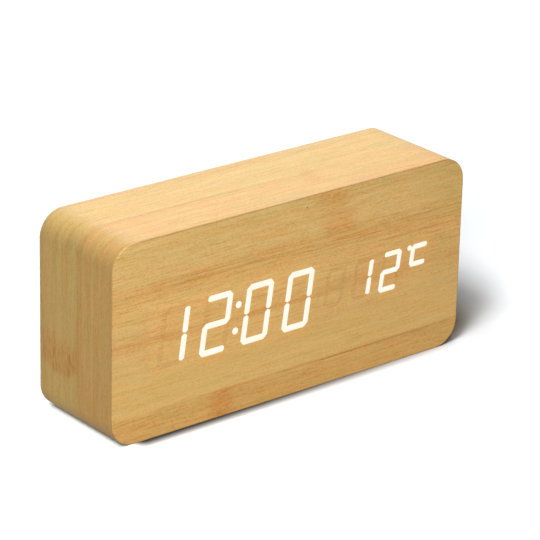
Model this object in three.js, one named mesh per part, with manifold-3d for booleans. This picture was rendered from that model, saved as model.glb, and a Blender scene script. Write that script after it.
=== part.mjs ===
// A wooden digital desk clock: a fibreboard ring under bamboo veneer, a seven-segment display that shows
// through the front veneer, and a black back cover with the cells, the buttons and the power socket.
// Millimetres. X runs to the viewer's right, Y from front to back, Z up, from the middle of the base.

import * as THREE from "three";
import { mergeVertices } from "three/addons/utils/BufferGeometryUtils.js";
import Module from "manifold-3d";

const wasm = await Module();
wasm.setup();

// Case
const CASE_WIDTH = 150;
const CASE_HEIGHT = 70;
const CASE_DEPTH = 40;
const CORNER_RADIUS = 9;
const VENEER = 0.6;
const FRONT_CHAMFER = 0.35;
const RING_WALL = 6.4;
const LEDGE = 3;
const OPENING_RADIUS = 12;
const FRONT_BOARD = 3;
const SEAM_GAP = 0.3;
const SEAM_FROM_MIDDLE = 45;

// Clearances
const SEAT = 0.05; // between faces that are glued or rest on each other
const FIT = 0.1; // round a piece let into another
const EASE = 0.2; // round a piece that moves or is pushed in
const OVERRUN = 1; // how far a cutting shape runs past the face that it cuts

// Display
const DISPLAY_SIDE_FRAME = 5.6;
const DISPLAY_MARGIN = 4.8;
const DISPLAY_DROP = 1.05;
const SLANT_DEGREES = 8;
const DEGREE_GAP = 0.2;
const STROKE_GAP = 0.35;
const GUIDE_EASE = 0.05;
const PLATE_MARGIN = 0.2;
const REFLECTOR_DEPTH = 6;
const GUIDE_PLATE = 1;
const LED_ROOM = 0.7;
const LED_HEIGHT = 0.6;
const LED_LENGTH = 1.6;
const LED_WIDTH = 0.8;
const FLANGE = 1.2;
const FLANGE_LIP = 2;
const EAR_RADIUS = 2.75;
const EAR_RISE = 2.7;
const CIRCUIT_BOARD = 1.6;

// Back cover and its buttons
const COVER_RECESS = 1;
const COVER_THICKNESS = 2;
const COVER_SCREW_INSET = 3.95;
const COUNTERBORE = 0.9;
const BUTTON_RADIUS = 3;
const BUTTON_FLANGE_RADIUS = 4;
const BUTTON_FLANGE = 0.8;
const BUTTON_PROUD = 0.7;
const BUTTON_EDGE = 0.5;
const BUTTON_MARK = 0.25;
const MARK_RADIUS = 1.5;
const DOT_RADIUS = 0.7;
const BUTTON_REST_GAP = 0.15;
const SWITCH_SIZE = 6;
const SWITCH_HEIGHT = 3.5;
const PLUNGER_RADIUS = 1.75;
const PLUNGER_PROUD = 1.5;
const PLUNGER_SUNK = 0.8;
const PLUNGER_WELL = 1.6;

// Cells, their tub and the door over it
const CELL_COUNT = 3;
const CELL_DIAMETER = 10.5;
const CELL_LENGTH = 44.5;
const CELL_NUB = 1;
const CELL_NUB_RADIUS = 1.9;
const CELL_EDGE = 0.5;
const CELL_GAP = 0.5;
const CELL_SIDE_ROOM = 0.5;
const CELL_UNDER_DOOR = 0.4;
const SPRING_ROOM = 5.4;
const TUB_WALL = 2;
const TUB_FLOOR = 1.5;
const TUB_FROM_SIDE = 6;
const RIB_WIDTH = 0.8;
const RIB_HEIGHT = 3;
const DOOR_THICKNESS = 1.6;
const DOOR_OVERLAP = 1.2;
const TONGUE_WIDTH = 6;
const TONGUE_NECK = 1;
const TONGUE_REACH = 1.2;
const TONGUE_THICKNESS = 1;
const TONGUE_UNDER_LIP = 0.15;
const LATCH_WIDTH = 8;
const LATCH_THICKNESS = 0.9;
const LATCH_LENGTH = 2;
const NOTCH_RADIUS = 5;
const NOTCH_DEPTH = 1;
const CONTACT = 0.4;
const CONTACT_GAP = 0.1;
const CONTACT_TAB_WIDTH = 3;
const CONTACT_TAB_LENGTH = 2.5;
const SPRING_WIRE = 0.6;
const SPRING_TURNS = 4;

// Control board and what it carries
const BOARD_FROM_SIDE = 5;
const BOARD_TO_TUB = 3.5;
const BOARD_SCREW_INSET = 3.6;
const BOSS_RADIUS = 2.5;
const BOSS_FLOOR = 1;
const CHIP_SIZE = 10;
const CHIP_HEIGHT = 1.5;
const CRYSTAL_LENGTH = 10;
const CRYSTAL_WIDTH = 4.4;
const CRYSTAL_HEIGHT = 3.4;
const CAPACITOR_DIAMETER = 5;
const CAPACITOR_HEIGHT = 7;
const BUZZER_DIAMETER = 9.6;
const BUZZER_HEIGHT = 5;
const SOUND_HOLE_COUNT = 6;
const SOUND_HOLE_RADIUS = 0.7;
const SOUND_HOLE_CIRCLE = 2.8;
const MICROPHONE_DIAMETER = 6;
const MICROPHONE_HEIGHT = 5;
const MICROPHONE_HOLE_RADIUS = 0.6;
const THERMISTOR_RADIUS = 1.2;
const THERMISTOR_STAND = 3.6;
const THERMISTOR_LEG = 0.5;
const THERMISTOR_LEG_PITCH = 1.2;
const VENT_WIDTH = 1.2;
const VENT_LENGTH = 8;
const VENT_PITCH = 2.6;
const HEADER_LENGTH = 14;
const HEADER_WIDTH = 5;
const HEADER_HEIGHT = 6;
const RIBBON_WIDTH = 12;
const RIBBON_THICKNESS = 0.8;
const SOCKET_WIDTH = 7.6;
const SOCKET_HEIGHT = 3;
const SOCKET_BEVEL = 0.9;
const SOCKET_WALL = 0.35;
const SOCKET_BELOW_FACE = 0.3;
const SOCKET_BASE = 2;
const SOCKET_TONGUE_WIDTH = 4.6;
const SOCKET_TONGUE_THICKNESS = 0.8;
const SOCKET_TONGUE_BELOW_MOUTH = 1.4;
const LEAD_RADIUS = 0.6;
const LEAD_GAP = 0.3;

// Screws
const COVER_SCREW = {
  shank: 1.1, head: 2.3, headHeight: 1.2, length: 8, slot: 0.6, slotDepth: 0.6, sides: 12,
};
const SMALL_SCREW = { shank: 0.9, head: 1.8, headHeight: 1, slot: 0.5, slotDepth: 0.5, sides: 8 };

// How finely round shapes are cut
const CORNER_STEPS = 5;
const FILLET_STEPS = 2;
const FINE_SIDES = 20;
const ROUND_SIDES = 12;
const SMALL_SIDES = 8;
const BEAD_RINGS = 6;
const LEAD_SIDES = 6;
const SPRING_SIDES = 5;
const SPRING_STEPS = 8; // for each turn
const RIBBON_STEPS = 14;
const RED_LEAD_STEPS = 12;
const BLACK_LEAD_STEPS = 22;

// Depths, from the front of the clock to the back
const front = -CASE_DEPTH / 2;
const back = CASE_DEPTH / 2;
const woodFront = front + VENEER + SEAT;
const boardBack = woodFront + FRONT_BOARD;
const flangeFront = boardBack + SEAT;
const reflectorBack = woodFront + REFLECTOR_DEPTH;
const ledFront = reflectorBack + SEAT - LED_HEIGHT;
const guideBack = reflectorBack - LED_ROOM;
const guidePlateFront = guideBack - GUIDE_PLATE;
const displayBoardFront = reflectorBack + SEAT;
const displayBoardBack = displayBoardFront + CIRCUIT_BOARD;
const coverOuter = back - COVER_RECESS;
const coverInner = coverOuter - COVER_THICKNESS;
const buttonFlangeTop = coverInner - BUTTON_REST_GAP;
const buttonFlangeBottom = buttonFlangeTop - BUTTON_FLANGE;
const plungerTop = buttonFlangeBottom - SEAT;
const switchTop = plungerTop - PLUNGER_PROUD;
const switchBottom = switchTop - SWITCH_HEIGHT;
const controlBoardBack = switchBottom - SEAT;
const controlBoardFront = controlBoardBack - CIRCUIT_BOARD;
const doorInner = coverOuter - DOOR_THICKNESS;
const doorSeat = doorInner - SEAT;
const cellRadius = CELL_DIAMETER / 2;
const cellDepth = doorInner - CELL_UNDER_DOOR - cellRadius;
const tubFloor = cellDepth - cellRadius - EASE;
const tubUnder = tubFloor - TUB_FLOOR;

// The characters' sizes before they are slanted, as shares of the width of the display's window
const digitWidthShare = 0.09102;
const digitHeightShare = 0.1684;
const digitStrokeShare = 0.01804;
const smallWidthShare = 0.06857;
const smallHeightShare = 0.11628;
const smallStrokeShare = 0.01564;
const smallRiseShare = 0.0056;
const signWidthShare = 0.05934;
const degreeDotShare = 0.01524;
const colonDotShare = 0.01925;
const colonPitchShare = 0.07298;

// Widths and heights, from the middle of the case
const ringInset = VENEER + SEAT;
const openingInset = ringInset + RING_WALL;
const rebateInset = openingInset - LEDGE;
const openingHalfWidth = CASE_WIDTH / 2 - openingInset;
const openingHalfHeight = CASE_HEIGHT / 2 - openingInset;
const windowWidth = 2 * (openingHalfWidth - DISPLAY_SIDE_FRAME);
const digitHeight = digitHeightShare * windowWidth;
const windowHeight = digitHeight + 2 * DISPLAY_MARGIN;
const slope = Math.tan(THREE.MathUtils.degToRad(SLANT_DEGREES));
const contactRoom = SEAT + CONTACT + CONTACT_GAP;
const cellPitch = CELL_DIAMETER + CELL_GAP;
const tubRight = openingHalfWidth - TUB_FROM_SIDE;
const tubInnerRight = tubRight - TUB_WALL;
const tubInnerLeft = tubInnerRight - SPRING_ROOM - CELL_LENGTH - contactRoom;
const tubLeft = tubInnerLeft - TUB_WALL;
const tubInnerTop = ((CELL_COUNT - 1) * cellPitch + CELL_DIAMETER) / 2 + CELL_SIDE_ROOM;
const tubTop = tubInnerTop + TUB_WALL;
const recess = {
  left: tubInnerLeft - DOOR_OVERLAP,
  right: tubInnerRight + DOOR_OVERLAP,
  top: tubInnerTop + DOOR_OVERLAP,
};
const boardLeft = -openingHalfWidth + BOARD_FROM_SIDE;
const boardRight = tubLeft - BOARD_TO_TUB;
const boardMiddle = (boardLeft + boardRight) / 2;
const boardHalfWidth = (boardRight - boardLeft) / 2;
const boardHalfHeight = openingHalfHeight - BOARD_FROM_SIDE;

// Places on the control board, as shares of half its width and half its height
const buttonShares = [
  [-0.6, 0.5],
  [-0.15, 0.5],
  [0.3, 0.5],
];
const socketShare = [-0.6, -0.45];
const microphoneShare = [-0.15, -0.5];
const buzzerShare = [0.3, -0.45];
const thermistorShare = [0.82, 0];
const chipShare = [-0.4, -0.1];
const crystalShare = [0.05, -0.4];
const capacitorShare = [0.4, -0.5];
const controlHeaderShare = [0.3, 0.25];
const boardPlace = ([across, up]) => ({
  x: boardMiddle + across * boardHalfWidth,
  z: up * boardHalfHeight,
});

// Where the screw ears and the header stand on the display board, as shares of half its width
const earShare = 0.8;
const displayHeaderShare = -0.12;

// The characters: where each stands, as a share of half the window's width, and which strokes are lit
const DIGIT_STROKES = "abcdefg";
const bigShares = [-0.8075, -0.5283, -0.2491, 0.03];
const bigNames = ["hour_tens", "hour_units", "minute_tens", "minute_units"];
const bigLit = ["bc", "abged", "abcdef", "abcdef"];
const smallShares = [0.2871, 0.486, 0.6848];
const smallNames = ["reading_hundreds", "reading_tens", "reading_units"];
const smallLit = ["", "bc", "abged"];
const colonShare = -0.3887;
const signShare = 0.8813;

// Each stroke of a digit runs between two of the six corners of its two squares
const STROKE_ENDS = {
  a: [[-1, 1], [1, 1]],
  b: [[1, 1], [1, 0]],
  c: [[1, 0], [1, -1]],
  d: [[-1, -1], [1, -1]],
  e: [[-1, 0], [-1, -1]],
  f: [[-1, 1], [-1, 0]],
  g: [[-1, 0], [1, 0]],
};

const bigDigit = {
  width: digitWidthShare * windowWidth,
  height: digitHeight,
  stroke: digitStrokeShare * windowWidth,
  z: 0,
};
const smallDigit = {
  width: smallWidthShare * windowWidth,
  height: smallHeightShare * windowWidth,
  stroke: smallStrokeShare * windowWidth,
  z: smallRiseShare * windowWidth,
};
const signWidth = signWidthShare * windowWidth;
const degreeDot = degreeDotShare * windowWidth;
const colonDot = colonDotShare * windowWidth;
const colonPitch = colonPitchShare * windowWidth;
const characters = [
  ...bigNames.map((name, i) => ({
    ...bigDigit, name, share: bigShares[i], strokes: DIGIT_STROKES, lit: bigLit[i], dots: [],
  })),
  ...smallNames.map((name, i) => ({
    ...smallDigit, name, share: smallShares[i], strokes: DIGIT_STROKES, lit: smallLit[i], dots: [],
  })),
  {
    name: "colon", share: colonShare, z: 0, strokes: "", lit: "",
    width: colonDot,
    height: colonPitch + colonDot,
    dots: [1, -1].map((side) => ({ x: 0, z: (side * colonPitch) / 2, radius: colonDot / 2 })),
  },
  {
    ...smallDigit, name: "degree_sign", share: signShare, width: signWidth, strokes: "afg", lit: "afg",
    dots: [{
      x: -(signWidth + degreeDot) / 2 - DEGREE_GAP,
      z: (smallDigit.height - degreeDot) / 2,
      radius: degreeDot / 2,
    }],
  },
];

// Finishes
const finish = (color, roughness, metalness = 0) =>
  new THREE.MeshStandardMaterial({ color, roughness, metalness, flatShading: true });
const finishes = {
  bambooFace: finish(0xd6ac68, 0.5),
  bambooBand: finish(0xe0b878, 0.5),
  fibreboard: finish(0xa98358, 0.85),
  blackPlastic: finish(0x1b1b1d, 0.55),
  buttonPlastic: finish(0x2c2c2f, 0.45),
  reflectorPlastic: finish(0x101012, 0.6),
  lightGuide: finish(0xfffaf0, 0.4),
  greenBoard: finish(0x1d5a38, 0.5),
  steel: finish(0xbfc1c4, 0.35, 1),
  blackSteel: finish(0x3a3a3c, 0.45, 1),
  nickel: finish(0xcfccc2, 0.3, 1),
  chipBody: finish(0x17171a, 0.6),
  headerPlastic: finish(0xe9e4d4, 0.5),
  ribbonGrey: finish(0x9a9ca0, 0.6),
  capacitorSleeve: finish(0x23324f, 0.45),
  thermistorGlass: finish(0x7a2c1c, 0.3),
  cellJacket: finish(0x2f5f8c, 0.4),
  redLead: finish(0xb3201c, 0.5),
  blackLead: finish(0x161616, 0.5),
};

// Turns a shape drawn in the plane X, Y and pulled along Z into one seen from the front and pulled towards it
const STANDING = new THREE.Matrix4().makeBasis(
  new THREE.Vector3(1, 0, 0),
  new THREE.Vector3(0, 0, 1),
  new THREE.Vector3(0, -1, 0),
);

// A closed geometry as a solid that can be joined and cut
function solid(geometry) {
  const bare = geometry.clone();
  bare.deleteAttribute("normal");
  bare.deleteAttribute("uv");
  const merged = mergeVertices(bare);
  return new wasm.Manifold(
    new wasm.Mesh({
      numProp: 3,
      vertProperties: merged.attributes.position.array,
      triVerts: new Uint32Array(merged.index.array),
    }),
  );
}

const join = (...solids) => solids.reduce((whole, next) => whole.add(next));
const cut = (whole, ...tools) => tools.reduce((rest, tool) => rest.subtract(tool), whole);

// A solid as a geometry to draw
function geometryOf(shape) {
  const { vertProperties, triVerts } = shape.getMesh();
  const geometry = new THREE.BufferGeometry();
  geometry.setAttribute("position", new THREE.BufferAttribute(vertProperties, 3));
  geometry.setIndex(new THREE.BufferAttribute(triVerts, 1));
  geometry.computeVertexNormals();
  return geometry;
}

// A slab between two depths with the given outline, or list of outlines, seen from the front
function slab(outline, from, to, cornerSteps = CORNER_STEPS) {
  const pulled = { depth: to - from, bevelEnabled: false, curveSegments: cornerSteps };
  const geometry = new THREE.ExtrudeGeometry(outline, pulled);
  return solid(geometry.applyMatrix4(STANDING).translate(0, to, 0));
}

// A box from its two ends along X, Y and Z
function block([left, right], [from, to], [bottom, top]) {
  const geometry = new THREE.BoxGeometry(right - left, to - from, top - bottom);
  return solid(geometry.translate((left + right) / 2, (from + to) / 2, (bottom + top) / 2));
}

// A round bar along Y
function post({ x, z }, radius, from, to, sides = ROUND_SIDES) {
  const geometry = new THREE.CylinderGeometry(radius, radius, to - from, sides);
  return solid(geometry.translate(x, (from + to) / 2, z));
}

// A shape turned round the Y axis from its profile of [radius, depth]
function turned(profile, sides = ROUND_SIDES) {
  const points = profile.map(([radius, depth]) => new THREE.Vector2(radius, depth));
  return solid(new THREE.LatheGeometry(points, sides));
}

// A tube along a curve
function tube(curve, radius, steps, sides) {
  const ring = Array.from({ length: sides }, (_, i) => {
    const angle = (2 * Math.PI * i) / sides;
    return new THREE.Vector2(radius * Math.cos(angle), radius * Math.sin(angle));
  });
  return solid(new THREE.ExtrudeGeometry(new THREE.Shape(ring), { steps, extrudePath: curve }));
}

function polygon(points) {
  return new THREE.Shape(points.map(([x, z]) => new THREE.Vector2(x, z)));
}

function rectangle(width, height, x = 0, z = 0) {
  const [w, h] = [width / 2, height / 2];
  return polygon([[x - w, z - h], [x + w, z - h], [x + w, z + h], [x - w, z + h]]);
}

function roundedRectangle(width, height, radius) {
  const [w, h] = [width / 2 - radius, height / 2 - radius];
  const quarter = Math.PI / 2;
  const shape = new THREE.Shape();
  shape.absarc(w, -h, radius, -quarter, 0);
  shape.absarc(w, h, radius, 0, quarter);
  shape.absarc(-w, h, radius, quarter, 2 * quarter);
  shape.absarc(-w, -h, radius, 2 * quarter, 3 * quarter);
  return shape;
}

// The outline of the case, moved inwards
function caseOutline(inset, radius = CORNER_RADIUS - inset) {
  return roundedRectangle(CASE_WIDTH - 2 * inset, CASE_HEIGHT - 2 * inset, radius);
}

function withHole(outline, hole) {
  outline.holes.push(hole);
  return outline;
}

// The clock is drawn round the middle of the case, and its display round a line a little lower
const clock = new THREE.Group();
clock.position.z = CASE_HEIGHT / 2;
const display = new THREE.Group();
display.position.z = -DISPLAY_DROP;
clock.add(display);

function place(name, shape, material, parent = clock, { x = 0, y = 0, z = 0 } = {}) {
  const mesh = new THREE.Mesh(geometryOf(shape), material);
  mesh.name = name;
  mesh.position.set(x, y, z);
  parent.add(mesh);
  return mesh;
}

// A point of a character, leaned to the right
function slanted(character, x, z) {
  const middle = (character.share * windowWidth) / 2;
  return [middle + x + slope * z, character.z + z];
}

// A stroke of a character: a bar with pointed ends, grown by the ease that its cell or window needs
function strokeOutline(character, letter, ease = 0) {
  const [start, end] = STROKE_ENDS[letter].map(([across, up]) => [
    (across * (character.width - character.stroke)) / 2,
    (up * (character.height - character.stroke)) / 2,
  ]);
  const length = Math.hypot(end[0] - start[0], end[1] - start[1]);
  const [alongX, alongZ] = [(end[0] - start[0]) / length, (end[1] - start[1]) / length];
  const half = character.stroke / 2 + ease;
  const tip = STROKE_GAP - ease * Math.SQRT2;
  const corner = (along, side) =>
    slanted(character, start[0] + alongX * along - alongZ * side, start[1] + alongZ * along + alongX * side);
  return polygon([
    corner(tip, 0),
    corner(tip + half, -half),
    corner(length - tip - half, -half),
    corner(length - tip, 0),
    corner(length - tip - half, half),
    corner(tip + half, half),
  ]);
}

function dotOutline(character, dot, ease = 0) {
  const [x, z] = slanted(character, dot.x, dot.z);
  return new THREE.Shape().absarc(x, z, dot.radius + ease, 0, 2 * Math.PI);
}

// The outlines of some of a character's strokes, and of its dots
function outlinesOf(character, letters, ease) {
  return [
    ...[...letters].map((letter) => strokeOutline(character, letter, ease)),
    ...character.dots.map((dot) => dotOutline(character, dot, ease)),
  ];
}

// The slanted plate behind a character, wide enough for its dots
function plateOutline(character, ease = 0) {
  const margin = PLATE_MARGIN + ease;
  const right = character.width / 2 + margin;
  const left = Math.min(-right, ...character.dots.map((dot) => dot.x - dot.radius - margin));
  const half = character.height / 2 + margin;
  return polygon([
    slanted(character, left, -half),
    slanted(character, right, -half),
    slanted(character, right, half),
    slanted(character, left, half),
  ]);
}

// Veneers, ring and front board
function makeFrontVeneer() {
  const chamfered = new THREE.ExtrudeGeometry(caseOutline(0), {
    depth: VENEER,
    bevelThickness: FRONT_CHAMFER,
    bevelSize: FRONT_CHAMFER,
    bevelOffset: -FRONT_CHAMFER,
    bevelSegments: 1,
    curveSegments: CORNER_STEPS,
  });
  const sheet = solid(chamfered.applyMatrix4(STANDING).translate(0, front + VENEER + FRONT_CHAMFER, 0));
  const behind = block(
    [-CASE_WIDTH, CASE_WIDTH],
    [front + VENEER, front + VENEER + FRONT_CHAMFER + OVERRUN],
    [-CASE_HEIGHT, CASE_HEIGHT],
  );
  const windows = characters.flatMap((character) => outlinesOf(character, character.lit, GUIDE_EASE));
  const openings = slab(windows, front - OVERRUN, front + VENEER + OVERRUN);
  return cut(sheet, behind, openings.translate([0, 0, -DISPLAY_DROP]));
}

function makeBandVeneer() {
  const sleeve = slab(withHole(caseOutline(0), caseOutline(VENEER)), woodFront, back);
  const seam = block(
    [SEAM_FROM_MIDDLE - SEAM_GAP / 2, SEAM_FROM_MIDDLE + SEAM_GAP / 2],
    [front, back + OVERRUN],
    [-CASE_HEIGHT, -openingHalfHeight],
  );
  return cut(sleeve, seam);
}

function coverScrewPlaces() {
  const x = CASE_WIDTH / 2 - rebateInset - COVER_SCREW_INSET;
  const z = CASE_HEIGHT / 2 - rebateInset - COVER_SCREW_INSET;
  return [{ x: -x, z }, { x, z }, { x: -x, z: -z }, { x, z: -z }];
}

function makeCaseRing() {
  const opening = caseOutline(openingInset, OPENING_RADIUS);
  const ring = slab(withHole(caseOutline(ringInset), opening), woodFront, back);
  const frontRebate = slab(caseOutline(rebateInset), front, boardBack + SEAT);
  const backRebate = slab(caseOutline(rebateInset), coverInner - SEAT, back + OVERRUN);
  const screwHead = coverOuter - COUNTERBORE;
  const pilots = coverScrewPlaces().map((at) =>
    post(at, COVER_SCREW.shank + FIT, screwHead - COVER_SCREW.length - OVERRUN, back));
  return cut(ring, frontRebate, backRebate, ...pilots);
}

// Where the display's screws go, from the middle of the display
function earPlaces() {
  const x = (earShare * windowWidth) / 2;
  const z = windowHeight / 2 + EAR_RISE;
  return [{ x: -x, z }, { x, z }, { x: -x, z: -z }, { x, z: -z }];
}

const displayScrewSeat = displayBoardBack + SEAT;
const displayScrewLength = displayScrewSeat - flangeFront + (2 * FRONT_BOARD) / 3;

function makeFrontBoard() {
  const opening = rectangle(windowWidth, windowHeight, 0, -DISPLAY_DROP);
  const panel = slab(withHole(caseOutline(rebateInset + FIT), opening), woodFront, boardBack);
  const tip = displayScrewSeat - displayScrewLength - EASE;
  const pilots = earPlaces().map(({ x, z }) =>
    post({ x, z: z - DISPLAY_DROP }, SMALL_SCREW.shank + FIT, tip, boardBack + OVERRUN, SMALL_SIDES));
  return cut(panel, ...pilots);
}

// Display, drawn round its own middle
const lipOutline = () => rectangle(windowWidth + 2 * FLANGE_LIP, windowHeight + 2 * FLANGE_LIP);

function makeReflector() {
  const box = slab(rectangle(windowWidth - 2 * FIT, windowHeight - 2 * FIT), woodFront, reflectorBack);
  const lip = slab(lipOutline(), flangeFront, flangeFront + FLANGE);
  const ears = earPlaces().map((at) => post(at, EAR_RADIUS, flangeFront, reflectorBack));
  const screwHoles = earPlaces().map((at) =>
    post(at, SMALL_SCREW.shank + FIT, flangeFront - OVERRUN, reflectorBack + OVERRUN, SMALL_SIDES));
  const cells = characters.flatMap((character) => outlinesOf(character, character.strokes, GUIDE_EASE));
  const pockets = characters.map((character) =>
    slab(plateOutline(character, FIT), guidePlateFront - SEAT, reflectorBack + OVERRUN));
  return cut(
    join(box, lip, ...ears),
    ...screwHoles,
    slab(cells, woodFront - OVERRUN, reflectorBack),
    ...pockets,
  );
}

function makeLightGuide(character) {
  const plate = slab(plateOutline(character), guidePlateFront, guideBack);
  const root = guidePlateFront + GUIDE_PLATE / 2;
  const lit = outlinesOf(character, character.lit, 0);
  const dark = [...character.strokes]
    .filter((letter) => !character.lit.includes(letter))
    .map((letter) => strokeOutline(character, letter));
  const bars = [];
  if (lit.length) bars.push(slab(lit, front, root));
  if (dark.length) bars.push(slab(dark, woodFront, root));
  return join(plate, ...bars);
}

function makeDisplayBoard() {
  const sheet = slab(lipOutline(), displayBoardFront, displayBoardBack);
  const ears = earPlaces().map((at) => post(at, EAR_RADIUS, displayBoardFront, displayBoardBack));
  const holes = earPlaces().map((at) =>
    post(at, SMALL_SCREW.shank + FIT, displayBoardFront - OVERRUN, displayBoardBack + OVERRUN, SMALL_SIDES));
  const leds = characters.flatMap((character) => {
    const strokes = [...character.strokes].map((letter) => {
      const [start, end] = STROKE_ENDS[letter];
      return [
        ((start[0] + end[0]) * (character.width - character.stroke)) / 4,
        ((start[1] + end[1]) * (character.height - character.stroke)) / 4,
      ];
    });
    const dots = character.dots.map((dot) => [dot.x, dot.z]);
    return [...strokes, ...dots].map(([x, z]) =>
      rectangle(LED_LENGTH, LED_WIDTH, ...slanted(character, x, z)));
  });
  const board = cut(join(sheet, ...ears), ...holes);
  return join(board, slab(leds, ledFront, displayBoardFront + CIRCUIT_BOARD / 2));
}

// A pan-head screw with a cross slot: its head's underside at depth 0, its shank towards the front
function makeScrew({ shank, head, headHeight, length, slot, slotDepth, sides }) {
  const tip = shank / 3;
  const body = turned([
    [0, -length],
    [tip, -length],
    [shank, -length + 2 * shank],
    [shank, 0],
    [head, 0],
    [head, headHeight / 2],
    [head - headHeight / 3, headHeight],
    [0, headHeight],
  ], sides);
  const [reach, depth] = [(2 * head) / 3, [headHeight - slotDepth, headHeight + OVERRUN]];
  const across = block([-reach, reach], depth, [-slot / 2, slot / 2]);
  const upright = block([-slot / 2, slot / 2], depth, [-reach, reach]);
  return cut(body, across, upright);
}

// Back cover
const cellHeights = Array.from({ length: CELL_COUNT }, (_, i) => ((CELL_COUNT - 1) / 2 - i) * cellPitch);
const hingeX = recess.right - EASE;
const latchX = recess.left + EASE;
const tongueTop = coverInner - TONGUE_UNDER_LIP;
const tongueBottom = tongueTop - TONGUE_THICKNESS;
const tongueHeights = [cellHeights[0], cellHeights[CELL_COUNT - 1]];
const tongueSwing = Math.hypot(TONGUE_REACH, coverOuter - tongueBottom);
const plusTabHeight = cellHeights[0];
const minusTabHeight = cellHeights[CELL_COUNT - 1];

function boardScrewPlaces() {
  const x = boardHalfWidth - BOARD_SCREW_INSET;
  const z = boardHalfHeight - BOARD_SCREW_INSET;
  return [-1, 1].flatMap((side) => [-1, 1].map((up) => ({ x: boardMiddle + side * x, z: up * z })));
}

const boardScrewSeat = controlBoardFront - SEAT;
const boardScrewPilotEnd = coverInner - BOSS_FLOOR;
const boardScrewLength = boardScrewPilotEnd - EASE - boardScrewSeat;

function socketOutline(grown = 0) {
  const [w, h] = [SOCKET_WIDTH / 2 + grown, SOCKET_HEIGHT / 2 + grown];
  const bevel = SOCKET_BEVEL + grown / 2;
  return polygon([[-w + bevel, -h], [w - bevel, -h], [w, -h + bevel], [w, h], [-w, h], [-w, -h + bevel]]);
}

function tabSlot(x, toRight, z) {
  const [near, far] = [x - toRight * EASE, x + toRight * (SEAT + CONTACT + EASE)];
  const half = CONTACT_TAB_WIDTH / 2 + EASE;
  const thickness = [Math.min(near, far), Math.max(near, far)];
  return block(thickness, [tubUnder - OVERRUN, tubFloor + OVERRUN], [z - half, z + half]);
}

function makeTubCuts() {
  const mouth = [-tubInnerTop, tubInnerTop];
  const cavity = block([tubInnerLeft, tubInnerRight], [tubFloor, coverOuter + OVERRUN], mouth);
  const lid = block([recess.left, recess.right], [doorSeat, coverOuter + OVERRUN], [-recess.top, recess.top]);
  const tongueHalf = TONGUE_WIDTH / 2 + EASE;
  const slotEnd = Math.max(tubRight, hingeX + TONGUE_REACH + EASE) + OVERRUN;
  const tongueSlots = tongueHeights.flatMap((z) => {
    const width = [z - tongueHalf, z + tongueHalf];
    return [
      block([tubInnerRight - OVERRUN, slotEnd], [coverOuter - tongueSwing - EASE, coverInner], width),
      block([tubInnerRight - OVERRUN, recess.right], [coverInner, coverOuter], width),
    ];
  });
  const latchHalf = LATCH_WIDTH / 2 + EASE;
  const latchSlot = block(
    [recess.left, tubInnerLeft + OVERRUN],
    [doorInner - LATCH_LENGTH - EASE, coverOuter],
    [-latchHalf, latchHalf],
  );
  const notchPlace = { x: recess.left, z: 0 };
  const notch = post(notchPlace, NOTCH_RADIUS, coverOuter - NOTCH_DEPTH, coverOuter + OVERRUN, FINE_SIDES);
  return [
    cavity, lid, ...tongueSlots, latchSlot, notch,
    tabSlot(tubInnerLeft, 1, plusTabHeight), tabSlot(tubInnerRight, -1, minusTabHeight),
  ];
}

function makeCoverHoles() {
  const through = [coverInner - OVERRUN, coverOuter + OVERRUN];
  const buttons = buttonShares.map((share) =>
    post(boardPlace(share), BUTTON_RADIUS + EASE, ...through, FINE_SIDES));
  const socket = boardPlace(socketShare);
  const socketWindow = slab(socketOutline(2 * EASE), ...through).translate([socket.x, 0, socket.z]);
  const microphone = post(boardPlace(microphoneShare), MICROPHONE_HOLE_RADIUS, ...through, SMALL_SIDES);
  const buzzer = boardPlace(buzzerShare);
  const middleHole = post(buzzer, SOUND_HOLE_RADIUS, ...through, SMALL_SIDES);
  const soundHoles = Array.from({ length: SOUND_HOLE_COUNT }, (_, i) => {
    const angle = (2 * Math.PI * i) / SOUND_HOLE_COUNT;
    const at = {
      x: buzzer.x + SOUND_HOLE_CIRCLE * Math.cos(angle),
      z: buzzer.z + SOUND_HOLE_CIRCLE * Math.sin(angle),
    };
    return post(at, SOUND_HOLE_RADIUS, ...through, SMALL_SIDES);
  });
  const thermistor = boardPlace(thermistorShare);
  const vents = [-1, 0, 1].map((i) =>
    slab(rectangle(VENT_WIDTH, VENT_LENGTH, thermistor.x + i * VENT_PITCH, thermistor.z), ...through));
  const screws = coverScrewPlaces().flatMap((at) => [
    post(at, COVER_SCREW.shank + FIT, ...through),
    post(at, COVER_SCREW.head + EASE, coverOuter - COUNTERBORE, coverOuter + OVERRUN, FINE_SIDES),
  ]);
  return [
    ...buttons, socketWindow, microphone, middleHole, ...soundHoles, ...vents, ...screws,
  ];
}

function makeBackCover() {
  const insidePlate = coverInner + COVER_THICKNESS / 2;
  const plate = slab(caseOutline(rebateInset + FIT), coverInner, coverOuter);
  const tub = block([tubLeft, tubRight], [tubUnder, insidePlate], [-tubTop, tubTop]);
  const bosses = boardScrewPlaces().map((at) => post(at, BOSS_RADIUS, controlBoardBack + SEAT, insidePlate));
  const pilots = boardScrewPlaces().map((at) =>
    post(at, SMALL_SCREW.shank + FIT, controlBoardBack, boardScrewPilotEnd, SMALL_SIDES));
  const shell = cut(join(plate, tub, ...bosses), ...makeTubCuts(), ...makeCoverHoles(), ...pilots);
  const ribs = cellHeights.slice(1).map((z) => {
    const middle = z + cellPitch / 2;
    return block(
      [tubInnerLeft + SPRING_ROOM, tubInnerRight - SPRING_ROOM],
      [tubFloor - TUB_FLOOR / 2, tubFloor + RIB_HEIGHT],
      [middle - RIB_WIDTH / 2, middle + RIB_WIDTH / 2],
    );
  });
  return join(shell, ...ribs);
}

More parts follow.
